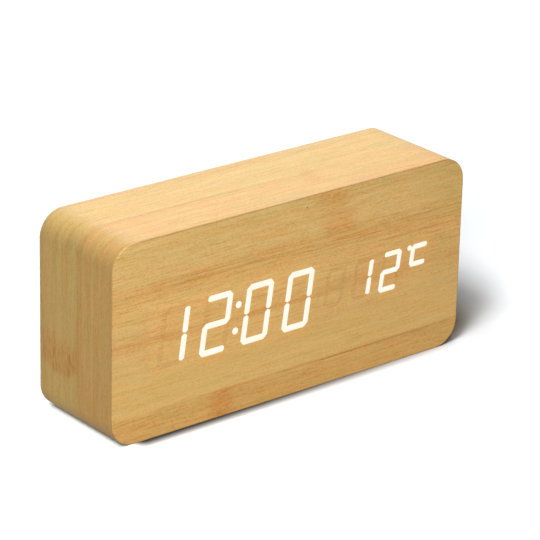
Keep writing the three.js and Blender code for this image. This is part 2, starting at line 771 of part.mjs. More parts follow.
function makeBatteryDoor() {
  const plate = block([latchX, hingeX], [doorInner, coverOuter], [-recess.top + EASE, recess.top - EASE]);
  const insidePlate = doorInner + DOOR_THICKNESS / 2;
  const tongues = tongueHeights.flatMap((z) => {
    const width = [z - TONGUE_WIDTH / 2, z + TONGUE_WIDTH / 2];
    return [
      block([hingeX - TONGUE_NECK, hingeX], [tongueBottom, insidePlate], width),
      block([hingeX - TONGUE_NECK, hingeX + TONGUE_REACH], [tongueBottom, tongueTop], width),
    ];
  });
  const latch = block(
    [tubInnerLeft - LATCH_THICKNESS, tubInnerLeft],
    [doorInner - LATCH_LENGTH, insidePlate],
    [-LATCH_WIDTH / 2, LATCH_WIDTH / 2],
  );
  return join(plate, ...tongues, latch);
}

// Buttons, each drawn round its own middle with the depths of the cover
function makeButtonCap(mark) {
  const top = coverOuter + BUTTON_PROUD;
  const cap = turned([
    [0, buttonFlangeBottom],
    [BUTTON_FLANGE_RADIUS, buttonFlangeBottom],
    [BUTTON_FLANGE_RADIUS, buttonFlangeTop],
    [BUTTON_RADIUS, buttonFlangeTop],
    [BUTTON_RADIUS, top - BUTTON_EDGE],
    [BUTTON_RADIUS - BUTTON_EDGE, top],
    [0, top],
  ], FINE_SIDES);
  return join(cap, slab(mark, top - BUTTON_EDGE, top + BUTTON_MARK, FILLET_STEPS));
}

// A triangle that points up or down
function arrowMark(up) {
  const corners = [0, 1, 2].map((third) => {
    const angle = Math.PI / 2 + (2 * Math.PI * third) / 3;
    return [MARK_RADIUS * Math.cos(angle), up * MARK_RADIUS * Math.sin(angle)];
  });
  return polygon(corners);
}

function makeSwitchBody() {
  const half = SWITCH_SIZE / 2;
  const body = block([-half, half], [switchBottom, switchTop], [-half, half]);
  const well = post({ x: 0, z: 0 }, PLUNGER_RADIUS + EASE, switchTop - PLUNGER_WELL, switchTop + OVERRUN);
  return cut(body, well);
}

// Cells and contacts
function makeCell() {
  const [radius, shoulder] = [cellRadius, CELL_LENGTH - CELL_NUB];
  const profile = [
    [0, 0],
    [radius - CELL_EDGE, 0],
    [radius, CELL_EDGE],
    [radius, shoulder - CELL_EDGE],
    [radius - CELL_EDGE, shoulder],
    [CELL_NUB_RADIUS, shoulder],
    [CELL_NUB_RADIUS, CELL_LENGTH],
    [0, CELL_LENGTH],
  ];
  return turned(profile);
}

// A spring's radius at its plate and at its tip, and half a contact's height, as shares of a cell's radius
const springBaseShare = 0.66;
const springTipShare = 0.4;
const contactHeightShare = 0.66;

// A spring that winds inwards from its plate
class ContactSpring extends THREE.Curve {
  constructor(start, toRight, z, length) {
    super();
    Object.assign(this, { start, toRight, z, length });
  }

  getPoint(share, target = new THREE.Vector3()) {
    const angle = 2 * Math.PI * SPRING_TURNS * share;
    const radius = THREE.MathUtils.lerp(springBaseShare, springTipShare, share) * cellRadius;
    return target.set(
      this.start + this.toRight * this.length * share,
      cellDepth + radius * Math.cos(angle),
      this.z + radius * Math.sin(angle),
    );
  }
}

// A contact on an end wall of the tub, over the given cells, with a spring at one and perhaps a tab to solder
function makeContact({ wall, toRight, from, to, springAt = null, tabAt = null }) {
  const half = contactHeightShare * cellRadius;
  const [near, far] = [wall + toRight * SEAT, wall + toRight * (SEAT + CONTACT)];
  const thickness = [Math.min(near, far), Math.max(near, far)];
  let contact = block(thickness, [cellDepth - half, cellDepth + half], [from - half, to + half]);
  if (tabAt !== null) {
    const tabHalf = CONTACT_TAB_WIDTH / 2;
    contact = join(
      contact,
      block(thickness, [tubUnder - CONTACT_TAB_LENGTH, cellDepth], [tabAt - tabHalf, tabAt + tabHalf]),
    );
  }
  if (springAt !== null) {
    const start = wall + toRight * (SEAT + CONTACT);
    const length = SPRING_ROOM - SEAT - CONTACT - SPRING_WIRE / 2 - CONTACT_GAP;
    const spring = new ContactSpring(start, toRight, springAt, length);
    contact = join(contact, tube(spring, SPRING_WIRE / 2, SPRING_TURNS * SPRING_STEPS, SPRING_SIDES));
  }
  return contact;
}

// Control board
function makeControlBoard() {
  const sheet = block(
    [boardLeft, boardRight], [controlBoardFront, controlBoardBack], [-boardHalfHeight, boardHalfHeight]);
  const holes = boardScrewPlaces().map((at) =>
    post(at, SMALL_SCREW.shank + FIT, controlBoardFront - OVERRUN, controlBoardBack + OVERRUN, SMALL_SIDES));
  return cut(sheet, ...holes);
}

const partBack = controlBoardFront - SEAT; // the face of parts on the board's front
const partFront = controlBoardBack + SEAT; // the face of parts on its back

function makeCrystal() {
  const can = roundedRectangle(CRYSTAL_LENGTH, CRYSTAL_WIDTH, CRYSTAL_WIDTH / 2 - FIT);
  return slab(can, partBack - CRYSTAL_HEIGHT, partBack, FILLET_STEPS);
}

function makeThermistor() {
  const bead = solid(
    new THREE.SphereGeometry(THERMISTOR_RADIUS, SMALL_SIDES, BEAD_RINGS)
      .translate(0, partFront + THERMISTOR_STAND, 0));
  const legs = [-1, 1].map((side) => {
    const x = (side * THERMISTOR_LEG_PITCH) / 2;
    const half = THERMISTOR_LEG / 2;
    return block([x - half, x + half], [partFront, partFront + THERMISTOR_STAND], [-half, half]);
  });
  return join(bead, ...legs);
}

function makeHeader(from, to) {
  return block([-HEADER_WIDTH / 2, HEADER_WIDTH / 2], [from, to], [-HEADER_LENGTH / 2, HEADER_LENGTH / 2]);
}

function makeSocketShell() {
  const mouth = coverOuter - SOCKET_BELOW_FACE;
  return slab(withHole(socketOutline(), socketOutline(-SOCKET_WALL)), partFront, mouth);
}

function makeSocketTongue() {
  const tip = coverOuter - SOCKET_BELOW_FACE - SOCKET_TONGUE_BELOW_MOUTH;
  const base = slab(socketOutline(-SOCKET_WALL - FIT), partFront, partFront + SOCKET_BASE);
  const tongue = slab(rectangle(SOCKET_TONGUE_WIDTH, SOCKET_TONGUE_THICKNESS), partFront, tip);
  return join(base, tongue);
}

// The two headers, upright and level with each other
const controlHeaderPlace = boardPlace(controlHeaderShare);
const displayHeaderPlace = { x: (displayHeaderShare * windowWidth) / 2, z: controlHeaderPlace.z };

const ribbonPullShare = 0.75;

// The ribbon: an S between the two headers, seen from above, pulled up to its width
function makeRibbon() {
  const start = new THREE.Vector2(displayHeaderPlace.x, displayBoardBack + SEAT + HEADER_HEIGHT + SEAT);
  const end = new THREE.Vector2(controlHeaderPlace.x, partBack - HEADER_HEIGHT - SEAT);
  const pull = ribbonPullShare * (end.y - start.y);
  const path = new THREE.CubicBezierCurve(
    start, new THREE.Vector2(start.x, start.y + pull), new THREE.Vector2(end.x, end.y - pull), end);
  const side = (offset) =>
    Array.from({ length: RIBBON_STEPS + 1 }, (_, i) => {
      const [point, tangent] = [path.getPoint(i / RIBBON_STEPS), path.getTangent(i / RIBBON_STEPS)];
      return new THREE.Vector2(point.x - offset * tangent.y, point.y + offset * tangent.x);
    });
  const outline = [...side(-RIBBON_THICKNESS / 2), ...side(RIBBON_THICKNESS / 2).reverse()];
  const pulled = { depth: RIBBON_WIDTH, bevelEnabled: false };
  const geometry = new THREE.ExtrudeGeometry(new THREE.Shape(outline), pulled);
  return solid(geometry.translate(0, 0, controlHeaderPlace.z - RIBBON_WIDTH / 2));
}

function makeLead(points, steps) {
  const curve = new THREE.CatmullRomCurve3(points.map(([x, y, z]) => new THREE.Vector3(x, y, z)));
  return tube(curve, LEAD_RADIUS, steps, LEAD_SIDES);
}

// The leads run under the tub, from the contacts' tabs to the board
const leadDepth = tubUnder - LEAD_GAP - LEAD_RADIUS;
const leadEnd = controlBoardFront - LEAD_GAP;
const tubCorner = tubLeft - LEAD_GAP - LEAD_RADIUS;
const boardPad = boardRight - 2 * LEAD_RADIUS;

function makeRedLead() {
  return makeLead([
    [tubInnerLeft - LEAD_GAP, leadDepth, plusTabHeight],
    [tubLeft, leadDepth, plusTabHeight],
    [(tubCorner + boardPad) / 2, (leadDepth + tubFloor) / 2, plusTabHeight],
    [boardPad, (tubFloor + leadEnd) / 2, plusTabHeight],
    [boardPad, leadEnd, plusTabHeight],
  ], RED_LEAD_STEPS);
}

function makeBlackLead() {
  const inner = tubInnerRight - SEAT - CONTACT - LEAD_GAP;
  return makeLead([
    [inner, leadDepth, minusTabHeight],
    [(3 * inner + tubLeft) / 4, leadDepth, minusTabHeight - LEAD_RADIUS],
    [(inner + tubLeft) / 2, leadDepth, minusTabHeight + LEAD_RADIUS],
    [(inner + 3 * tubLeft) / 4, leadDepth, minusTabHeight],
    [tubLeft, leadDepth, minusTabHeight],
    [(tubCorner + boardPad) / 2, (leadDepth + tubFloor) / 2, minusTabHeight],
    [boardPad, (tubFloor + leadEnd) / 2, minusTabHeight],
    [boardPad, leadEnd, minusTabHeight],
  ], BLACK_LEAD_STEPS);
}

// The case
place("front_veneer", makeFrontVeneer(), finishes.bambooFace);
place("band_veneer", makeBandVeneer(), finishes.bambooBand);
place("case_ring", makeCaseRing(), finishes.fibreboard);
place("front_board", makeFrontBoard(), finishes.fibreboard);

// The display
place("reflector", makeReflector(), finishes.reflectorPlastic, display);
for (const character of characters)
  place(`light_guide_${character.name}`, makeLightGuide(character), finishes.lightGuide, display);
place("display_board", makeDisplayBoard(), finishes.greenBoard, display);
const displayScrew = makeScrew({ ...SMALL_SCREW, length: displayScrewLength });
earPlaces().forEach((at, i) =>
  place(`display_screw_${i + 1}`, displayScrew, finishes.steel, display, { ...at, y: displayScrewSeat }));
place("display_header", makeHeader(displayBoardBack + SEAT, displayBoardBack + SEAT + HEADER_HEIGHT),
  finishes.headerPlastic, clock, displayHeaderPlace);

// The back cover and what it holds
place("back_cover", makeBackCover(), finishes.blackPlastic);
const coverScrew = makeScrew(COVER_SCREW);
coverScrewPlaces().forEach((at, i) =>
  place(`cover_screw_${i + 1}`, coverScrew, finishes.blackSteel, clock,
    { ...at, y: coverOuter - COUNTERBORE + SEAT }));
place("battery_door", makeBatteryDoor(), finishes.blackPlastic);
const cell = makeCell();
cellHeights.forEach((z, i) => {
  const plusLeft = i % 2 === 0;
  const mesh = place(`battery_cell_${i + 1}`, cell, finishes.cellJacket, clock, {
    x: plusLeft ? tubInnerLeft + contactRoom + CELL_LENGTH : tubInnerRight - contactRoom - CELL_LENGTH,
    y: cellDepth,
    z,
  });
  mesh.rotation.z = plusLeft ? Math.PI / 2 : -Math.PI / 2;
});
const [topCell, middleCell, bottomCell] = cellHeights;
place("contact_plus", makeContact({
  wall: tubInnerLeft, toRight: 1, from: topCell, to: topCell, tabAt: plusTabHeight,
}), finishes.nickel);
place("contact_bridge_right", makeContact({
  wall: tubInnerRight, toRight: -1, from: middleCell, to: topCell, springAt: topCell,
}), finishes.nickel);
place("contact_bridge_left", makeContact({
  wall: tubInnerLeft, toRight: 1, from: bottomCell, to: middleCell, springAt: middleCell,
}), finishes.nickel);
place("contact_minus", makeContact({
  wall: tubInnerRight, toRight: -1, from: bottomCell, to: bottomCell, springAt: bottomCell,
  tabAt: minusTabHeight,
}), finishes.nickel);

// The buttons, each over its switch
const dotMark = new THREE.Shape().absarc(0, 0, DOT_RADIUS, 0, 2 * Math.PI);
const buttons = { set: dotMark, up: arrowMark(1), down: arrowMark(-1) };
const plunger = post({ x: 0, z: 0 }, PLUNGER_RADIUS, switchTop - PLUNGER_SUNK, plungerTop);
Object.entries(buttons).forEach(([name, mark], i) => {
  const at = boardPlace(buttonShares[i]);
  place(`${name}_button`, makeButtonCap(mark), finishes.buttonPlastic, clock, at);
  place(`${name}_switch_body`, makeSwitchBody(), finishes.steel, clock, at);
  place(`${name}_switch_plunger`, plunger, finishes.chipBody, clock, at);
});

// The control board
place("control_board", makeControlBoard(), finishes.greenBoard);
const boardScrew = makeScrew({ ...SMALL_SCREW, length: boardScrewLength });
boardScrewPlaces().forEach((at, i) => {
  const mesh = place(`board_screw_${i + 1}`, boardScrew, finishes.steel, clock, { ...at, y: boardScrewSeat });
  mesh.rotation.z = Math.PI;
});
const chip = slab(rectangle(CHIP_SIZE, CHIP_SIZE), partBack - CHIP_HEIGHT, partBack);
const middle = { x: 0, z: 0 };
place("microcontroller", chip, finishes.chipBody, clock, boardPlace(chipShare));
place("crystal", makeCrystal(), finishes.nickel, clock, boardPlace(crystalShare));
place("capacitor", post(middle, CAPACITOR_DIAMETER / 2, partBack - CAPACITOR_HEIGHT, partBack),
  finishes.capacitorSleeve, clock, boardPlace(capacitorShare));
place("buzzer", post(middle, BUZZER_DIAMETER / 2, partFront, partFront + BUZZER_HEIGHT, FINE_SIDES),
  finishes.chipBody, clock, boardPlace(buzzerShare));
place("microphone", post(middle, MICROPHONE_DIAMETER / 2, partFront, partFront + MICROPHONE_HEIGHT),
  finishes.nickel, clock, boardPlace(microphoneShare));
place("thermistor", makeThermistor(), finishes.thermistorGlass, clock, boardPlace(thermistorShare));
place("power_socket_shell", makeSocketShell(), finishes.nickel, clock, boardPlace(socketShare));
place("power_socket_tongue", makeSocketTongue(), finishes.chipBody, clock, boardPlace(socketShare));
place("control_header", makeHeader(partBack - HEADER_HEIGHT, partBack), finishes.headerPlastic, clock,
  controlHeaderPlace);
place("ribbon_cable", makeRibbon(), finishes.ribbonGrey);
place("battery_lead_red", makeRedLead(), finishes.redLead);
place("battery_lead_black", makeBlackLead(), finishes.blackLead);

export default clock;
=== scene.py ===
"""The looks of a wooden digital desk clock: bamboo veneer, lit digits, and a black back with its door."""

import math
from functools import reduce

import bmesh
import bpy
import numpy as np
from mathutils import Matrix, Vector
from mathutils.geometry import delaunay_2d_cdt


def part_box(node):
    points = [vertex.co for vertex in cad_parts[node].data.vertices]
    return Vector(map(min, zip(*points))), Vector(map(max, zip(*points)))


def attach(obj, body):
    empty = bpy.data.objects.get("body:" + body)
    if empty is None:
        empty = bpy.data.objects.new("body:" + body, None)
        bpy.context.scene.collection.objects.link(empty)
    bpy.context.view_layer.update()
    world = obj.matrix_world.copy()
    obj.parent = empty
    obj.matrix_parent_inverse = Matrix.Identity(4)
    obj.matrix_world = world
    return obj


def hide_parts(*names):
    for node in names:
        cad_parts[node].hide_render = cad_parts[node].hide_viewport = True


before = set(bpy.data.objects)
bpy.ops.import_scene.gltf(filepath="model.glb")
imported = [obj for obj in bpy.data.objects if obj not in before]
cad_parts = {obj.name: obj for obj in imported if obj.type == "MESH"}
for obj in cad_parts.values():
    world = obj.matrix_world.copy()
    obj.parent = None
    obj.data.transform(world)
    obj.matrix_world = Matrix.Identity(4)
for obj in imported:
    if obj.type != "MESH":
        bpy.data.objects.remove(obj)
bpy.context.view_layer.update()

MM = 0.001

# Case, in millimetres
WIDTH, HEIGHT, DEPTH = 150.0, 70.0, 40.0
MIDDLE = (0.0, HEIGHT / 2)
CORNER_RADIUS = 9.0
FRONT, BACK = -DEPTH / 2, DEPTH / 2
VENEER = 0.6
GLUE_GAP, BAND_GAP = 0.05, 0.005
WOOD_FRONT = FRONT + VENEER + GLUE_GAP
BAND_FRONT = FRONT + VENEER + BAND_GAP
FRONT_EDGE, BAND_EDGE, RING_EDGE = 0.15, 0.12, 0.15
RING_INSET, REBATE_INSET, OPENING_INSET = VENEER + GLUE_GAP, 4.05, 7.05
OPENING_RADIUS = 12.0
FRONT_REBATE, BACK_REBATE = -16.3, 16.95
SEAM_X, SEAM_GAP = 45.0, 0.3
BUTTONS, SCREWS = ("set", "up", "down"), (1, 2, 3, 4)

# How finely round shapes are divided
CORNER_STEPS, EDGE_STEPS, BLOCK_STEPS = 20, 3, 5
# Points nearer than this are one
SAME_POINT = 1e-7


def node_box(node):
    """A CAD node's lowest and highest corners, in millimetres."""
    low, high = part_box(node)
    return np.array(low) / MM, np.array(high) / MM


def node_middle(node):
    """Where the middle of a CAD node lies, seen from the front."""
    low, high = node_box(node)
    return ((low + high) / 2)[[0, 2]]


# Outlines, each a list of (x, z) that runs anticlockwise as seen from the front
def arc(middle, radius, start, end, steps):
    angles = np.radians(np.linspace(start, end, steps + 1))
    return [(middle[0] + radius * math.cos(a), middle[1] + radius * math.sin(a)) for a in angles]


def circle(middle, radius, steps):
    return arc(middle, radius, 0, 360, steps)[:-1]


def rounded(width, height, radius, middle=MIDDLE, steps=CORNER_STEPS):
    """A rectangle with round corners."""
    w, h = width / 2 - radius, height / 2 - radius
    corners = [(w, -h, -90), (w, h, 0), (-w, h, 90), (-w, -h, 180)]
    return [
        point
        for x, z, start in corners
        for point in arc((middle[0] + x, middle[1] + z), radius, start, start + 90, steps)
    ]


def case_outline(inset, radius=None):
    """The outline of the case, moved in."""
    radius = CORNER_RADIUS - inset if radius is None else radius
    return rounded(WIDTH - 2 * inset, HEIGHT - 2 * inset, radius)


def moved_in(outline, distance):
    """The outline with each of its sides moved inwards, or outwards for a negative distance."""
    points = np.array(outline, float)
    if distance == 0:
        return points
    ahead = np.roll(points, -1, 0) - points
    ahead /= np.linalg.norm(ahead, axis=1)[:, None]
    inward = np.stack([-ahead[:, 1], ahead[:, 0]], 1)
    both = inward + np.roll(inward, 1, 0)
    return points + distance * 2 * both / (both**2).sum(1)[:, None]


def spaced(points, step):
    """Adds points along the long sides of an open outline."""
    out = [points[0]]
    for (x, z), end in zip(points, points[1:]):
        count = max(1, round(math.dist((x, z), end) / step))
        shares = [i / count for i in range(1, count + 1)]
        out += [(x + (end[0] - x) * share, z + (end[1] - z) * share) for share in shares]
    return out


def inside(points, outline):
    """Which of the points lie inside the outline."""
    x, z = points[:, 0, None], points[:, 1, None]
    a, b = np.array(outline, float), np.roll(np.array(outline, float), -1, 0)
    spans = (a[:, 1] > z) != (b[:, 1] > z)
    rise = np.where(b[:, 1] == a[:, 1], 1.0, b[:, 1] - a[:, 1])
    crossings = x < (b[:, 0] - a[:, 0]) * (z - a[:, 1]) / rise + a[:, 0]
    return (spans & crossings).sum(1) % 2 == 1


def distance_to(points, outline):
    """How far each of the points is from the outline."""
    a = np.array(outline, float)
    run = np.roll(a, -1, 0) - a
    offset = points[:, None, :] - a[None]
    share = np.clip((offset * run).sum(2) / (run**2).sum(1), 0, 1)
    return np.linalg.norm(offset - share[..., None] * run, axis=2).min(1)


def filled(outlines, extra=(), marks=()):
    """Triangles inside the first outline and outside the rest, their points, and which lie in a mark."""
    given, edges = [], []
    for outline in [*outlines, *marks]:
        start, count = len(given), len(outline)
        given += [tuple(map(float, p)) for p in outline]
        edges += [(start + i, start + (i + 1) % count) for i in range(count)]
    given += [tuple(map(float, p)) for p in extra]
    flat = [Vector(p) for p in given]
    corners, _, faces, origins, _, _ = delaunay_2d_cdt(flat, edges, [], 0, SAME_POINT)
    points, place = list(given), {}
    for i, sources in enumerate(origins):
        place[i] = min(sources) if sources else len(points)
        if not sources:
            points.append(tuple(corners[i]))
    points = np.array(points)
    faces = np.array([[place[i] for i in face] for face in faces])
    middles = points[faces].mean(1)
    keep = inside(middles, outlines[0])
    for hole in outlines[1:]:
        keep &= ~inside(middles, hole)
    marked = np.zeros(len(faces), bool)
    for mark in marks:
        marked |= inside(middles, mark)
    return points, faces[keep], marked[keep]


# Bodies, in millimetres
class Body:
    """The points and faces of one piece, with the number of each face's finish."""

    def __init__(self):
        self.points, self.faces, self.finishes = [], [], []

    def ring(self, outline, depth):
        """Adds the points of an outline at a depth."""
        self.points += [(float(x), float(depth), float(z)) for x, z in outline]

    def wall(self, here, there, count, closed=True):
        """Adds the faces between two rings of points, each given by the number of its first point."""
        for i in range(count if closed else count - 1):
            after = (i + 1) % count
            self.faces.append([here + i, here + after, there + after, there + i])

    def painted(self, finish=0):
        """Gives all faces one finish."""
        self.finishes = [finish] * len(self.faces)
        return self

    def joined(self, other):
        """Adds the points and faces of another body."""
        start = len(self.points)
        self.points += other.points
        self.faces += [[start + i for i in face] for face in other.faces]
        self.finishes += other.finishes
        return self

    def placed(self, place):
        """Puts each point where the given function says."""
        self.points = [place(*point) for point in self.points]
        return self

    def moved(self, to, turn=0.0):
        """Turns the body round the Y axis, in degrees, and moves it to (x, z)."""
        c, s = math.cos(math.radians(turn)), math.sin(math.radians(turn))
        return self.placed(lambda x, y, z: (to[0] + x * c - z * s, y, to[1] + x * s + z * c))


def edge_profile(front, back, front_edge, back_edge):
    """Depths and insets of a side wall whose edges are rounded."""
    quarter = [math.pi / 2 * i / EDGE_STEPS for i in range(EDGE_STEPS + 1)]
    profile, rear = [(front, 0.0)], [(back, 0.0)]
    if front_edge:
        profile = [(front + front_edge * (1 - math.cos(a)), front_edge * (1 - math.sin(a))) for a in quarter]
    if back_edge:
        rear = [(back - back_edge * (1 - math.sin(a)), back_edge * (1 - math.cos(a))) for a in quarter]
    return profile + rear


def slab(outlines, front, back, front_edge=0.0, back_edge=0.0, extra=(), marks=()):
    """A slab between two depths, with holes, rounded edges, and marked faces on its front."""
    body, rows = Body(), []
    count = sum(len(outline) for outline in outlines)
    for depth, inset in edge_profile(front, back, front_edge, back_edge):
        loops = [moved_in(outline, inset if i == 0 else -inset) for i, outline in enumerate(outlines)]
        rows.append((depth, loops))
        for loop in loops:
            body.ring(loop, depth)
    start = 0
    for outline in outlines:
        for k in range(len(rows) - 1):
            body.wall(k * count + start, (k + 1) * count + start, len(outline))
        start += len(outline)
    body.painted()
    for k, more, inner in ((0, extra, marks), (len(rows) - 1, (), ())):
        depth, loops = rows[k]
        points, faces, marked = filled(loops, more, inner)
        on_wall, added = k * count, len(body.points) - count
        body.ring(points[count:], depth)
        body.faces += [[int(i) + (on_wall if i < count else added) for i in face] for face in faces]
        body.finishes += [int(mark) for mark in marked]
    return body


def loft(sections, closed=True):
    """A wall round the case. Its cross-section is the sections in turn, each an (outline, depth)."""
    body = Body()
    n, m = len(sections[0][0]), len(sections)
    for outline, depth in sections:
        body.ring(outline, depth)
    for k in range(m):
        body.wall(k * n, (k + 1) % m * n, n, closed)
    if not closed:
        body.faces += [[k * n for k in range(m)], [k * n + n - 1 for k in range(m)]]
    return body.painted()


def turned(profile, sides):
    """A body turned round the Y axis from (radius, depth, and maybe the finish up to the next point)."""
    body, rows = Body(), []
    for radius, depth, *finish in profile:
        first = len(body.points)
        body.ring(circle((0, 0), radius, sides) if radius else [(0, 0)], depth)
        numbers = range(first, first + sides) if radius else [first] * sides
        rows.append((list(numbers), *(finish or [0])))
    for (here, finish), (there, _) in zip(rows, rows[1:]):
        for i in range(sides):
            after = (i + 1) % sides
            body.faces.append(list(dict.fromkeys([here[i], here[after], there[after], there[i]])))
            body.finishes.append(finish)
    return body


def drawn(path, radius, sides):
    """A round wire along a path."""
    path = np.array(path, float)
    ahead = np.gradient(path, axis=0)
    ahead /= np.linalg.norm(ahead, axis=1)[:, None]
    askew = (0.3, 0.5, 0.8)
    side = np.cross(ahead[0], askew)
    body = Body()
    for point, along in zip(path, ahead):
        side = side - along * side.dot(along)
        side /= np.linalg.norm(side)
        over = np.cross(along, side)
        body.points += [tuple(point + radius * (x * side + y * over)) for x, y in circle((0, 0), 1, sides)]
    last = (len(path) - 1) * sides
    for start in range(0, last, sides):
        body.wall(start, start + sides, sides)
    body.faces += [list(range(sides)), list(range(last, last + sides))]
    return body.painted()


def box(low, high, edge=0.0):
    """A block between two corners (x, y, z), with its edges rounded."""
    sharp = 0.01
    middle = ((low[0] + high[0]) / 2, (low[2] + high[2]) / 2)
    steps = EDGE_STEPS if edge else 1
    outline = rounded(high[0] - low[0], high[2] - low[2], max(edge, sharp), middle, steps)
    return slab([outline], low[1], high[1], edge, edge)


def bar(left, right, inner, outer, z, half, edge=0.0):
    """A block that reaches as far above a height as below it."""
    return box((left, inner, z - half), (right, outer, z + half), edge)


# Blender objects
def blender_object(name, body):
    mesh = bpy.data.meshes.new(name)
    mesh.from_pydata([tuple(c * MM for c in point) for point in body.points], [], body.faces)
    mesh.polygons.foreach_set("material_index", body.finishes)
    shape = bmesh.new()
    shape.from_mesh(mesh)
    loose = [vertex for vertex in shape.verts if not vertex.link_faces]
    bmesh.ops.delete(shape, geom=loose, context="VERTS")
    bmesh.ops.remove_doubles(shape, verts=shape.verts, dist=SAME_POINT)
    bmesh.ops.recalc_face_normals(shape, faces=shape.faces)
    shape.to_mesh(mesh)
    shape.free()
    made = bpy.data.objects.new(name, mesh)
    bpy.context.scene.collection.objects.link(made)
    return made


def apply_modifiers(made):
    bpy.context.view_layer.update()
    mesh = bpy.data.meshes.new_from_object(made.evaluated_get(bpy.context.evaluated_depsgraph_get()))
    made.modifiers.clear()
    made.data = mesh


def worked(name, blank, steps):
    """A piece cut and joined from several bodies, in the order given."""
    made = blender_object(name, blank)
    tools = []
    for kind, body in steps:
        tool = blender_object(f"{name}_tool", body)
        tools.append(tool)
        step = made.modifiers.new(kind, "BOOLEAN")
        step.object, step.operation, step.solver = tool, kind, "EXACT"
    apply_modifiers(made)
    for tool in tools:
        bpy.data.objects.remove(tool)
    return made


def joins(*bodies):
    return [("UNION", body) for body in bodies]


def cuts(*bodies):
    return [("DIFFERENCE", body) for body in bodies]


def finished(made, finishes, replaces, body="case", crease=35):
    """Gives a piece its finishes and its smooth faces, and lets it stand for its CAD node."""
    for finish in finishes:
        made.data.materials.append(FINISH[finish])
    made.data.shade_smooth()
    made.data.set_sharp_from_angle(angle=math.radians(crease))
    even = made.modifiers.new("even", "WEIGHTED_NORMAL")
    even.keep_sharp = True
    apply_modifiers(made)
    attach(made, body)
    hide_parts(replaces)
    return made


def mesh_points(made):
    """The points of a piece, in millimetres."""
    places = np.zeros(len(made.data.vertices) * 3)
    made.data.vertices.foreach_get("co", places)
    return places.reshape(-1, 3) / MM


def keep_on_points(made, name, values):
    """Keeps a number or a place for each point of a piece, which its finish reads by name."""
    kind, key = ("FLOAT", "value") if values.ndim == 1 else ("FLOAT_VECTOR", "vector")
    kept = made.data.attributes.new(name, kind, "POINT")
    kept.data.foreach_set(key, values.astype(np.float32).ravel())


# Characters, slanted to the right, with sizes in millimetres
SLOPE = math.tan(math.radians(8))
DISPLAY_Z = 33.95
PLAIN = {"lit": [], "unlit": "", "dots": []}
DIGIT = {**PLAIN, "width": 11.3, "height": 20.95, "stroke": 2.08, "z": 0.0}
SMALL = {**PLAIN, "width": 8.45, "height": 14.4, "stroke": 1.76, "z": 0.7}
SIGN = {**PLAIN, "width": 7.9, "height": 14.4, "stroke": 1.76, "z": 0.7}
CORNER_CUT = 0.45
# How far a stroke's end stays short of the corner ahead: where it meets a stroke, and where it is free
MEETING_GAP, UPRIGHT_GAP, LEVEL_GAP = 0.24, 0.25, -0.05
# The shape of an end in half strokes: how far back from the tip, and how far out from the middle
POINTED_END = [(0.62, 1.0), (0.2, 0.62), (0.0, 0.24)]
ROUND_END = [(0.7, 1.0), (0.3, 0.86), (0.06, 0.5), (0.0, 0.16)]

# Strokes as paths over a character's corners, from (-1, -1) at the lower left to (1, 1)
STROKES = {
    "a": ((-1, 1), (1, 1)), "b": ((1, 1), (1, 0)), "c": ((1, 0), (1, -1)), "d": ((1, -1), (-1, -1)),
    "e": ((-1, -1), (-1, 0)), "f": ((-1, 0), (-1, 1)), "g": ((-1, 0), (1, 0)),
}
ONE = [[(1, 1), (1, 0)], [(1, 0), (1, -1)]]
TWO = [[(-1, 1), (1, 1), (1, 0), (-1, 0), (-1, -1), (1, -1)]]
NOUGHT = [[(-1, 0), (-1, 1), (1, 1), (1, 0)], [(1, 0), (1, -1), (-1, -1), (-1, 0)]]
UPPER_C = [[(1, 1), (-1, 1), (-1, 0), (1, 0)]]

# Dots are (x, z, radius)
CHARACTERS = {
    "hour_tens": {**DIGIT, "x": -50.55, "lit": ONE, "unlit": "adefg"},
    "hour_units": {**DIGIT, "x": -32.94, "lit": TWO, "unlit": "cf"},
    "colon": {**DIGIT, "x": -24.24, "width": 2.4, "height": 11.5, "dots": [(0, 4.55, 1.2), (0, -4.55, 1.2)]},
    "minute_tens": {**DIGIT, "x": -15.65, "lit": NOUGHT, "unlit": "g"},
    "minute_units": {**DIGIT, "x": 1.87, "lit": NOUGHT, "unlit": "g"},
    "reading_hundreds": {**SMALL, "x": 17.9, "unlit": "abcdefg"},
    "reading_tens": {**SMALL, "x": 30.15, "lit": ONE, "unlit": "adefg"},
    "reading_units": {**SMALL, "x": 42.7, "lit": TWO, "unlit": "cf"},
    "degree_sign": {**SIGN, "x": 55.3, "lit": UPPER_C, "dots": [(-4.8, 6.3, 0.95)]},
}


def slanted(character, points):
    """Puts points round a character's middle where they belong on the display."""
    middle = DISPLAY_Z + character["z"]
    return [(character["x"] + x + SLOPE * z, middle + z) for x, z in points]


def stroke_end(end, along, half, meets):
    """The points of a stroke's end: pointed where it meets another stroke, rounded where it is free."""
    shape = POINTED_END if meets else ROUND_END
    free_gap = UPRIGHT_GAP if abs(along[1]) > abs(along[0]) else LEVEL_GAP
    start = MEETING_GAP if meets else free_gap
    side = np.array([-along[1], along[0]])
    one = [end + along * (start + half * back) + side * half * out for back, out in shape]
    other = [end + along * (start + half * back) - side * half * out for back, out in shape[::-1]]
    return one + other


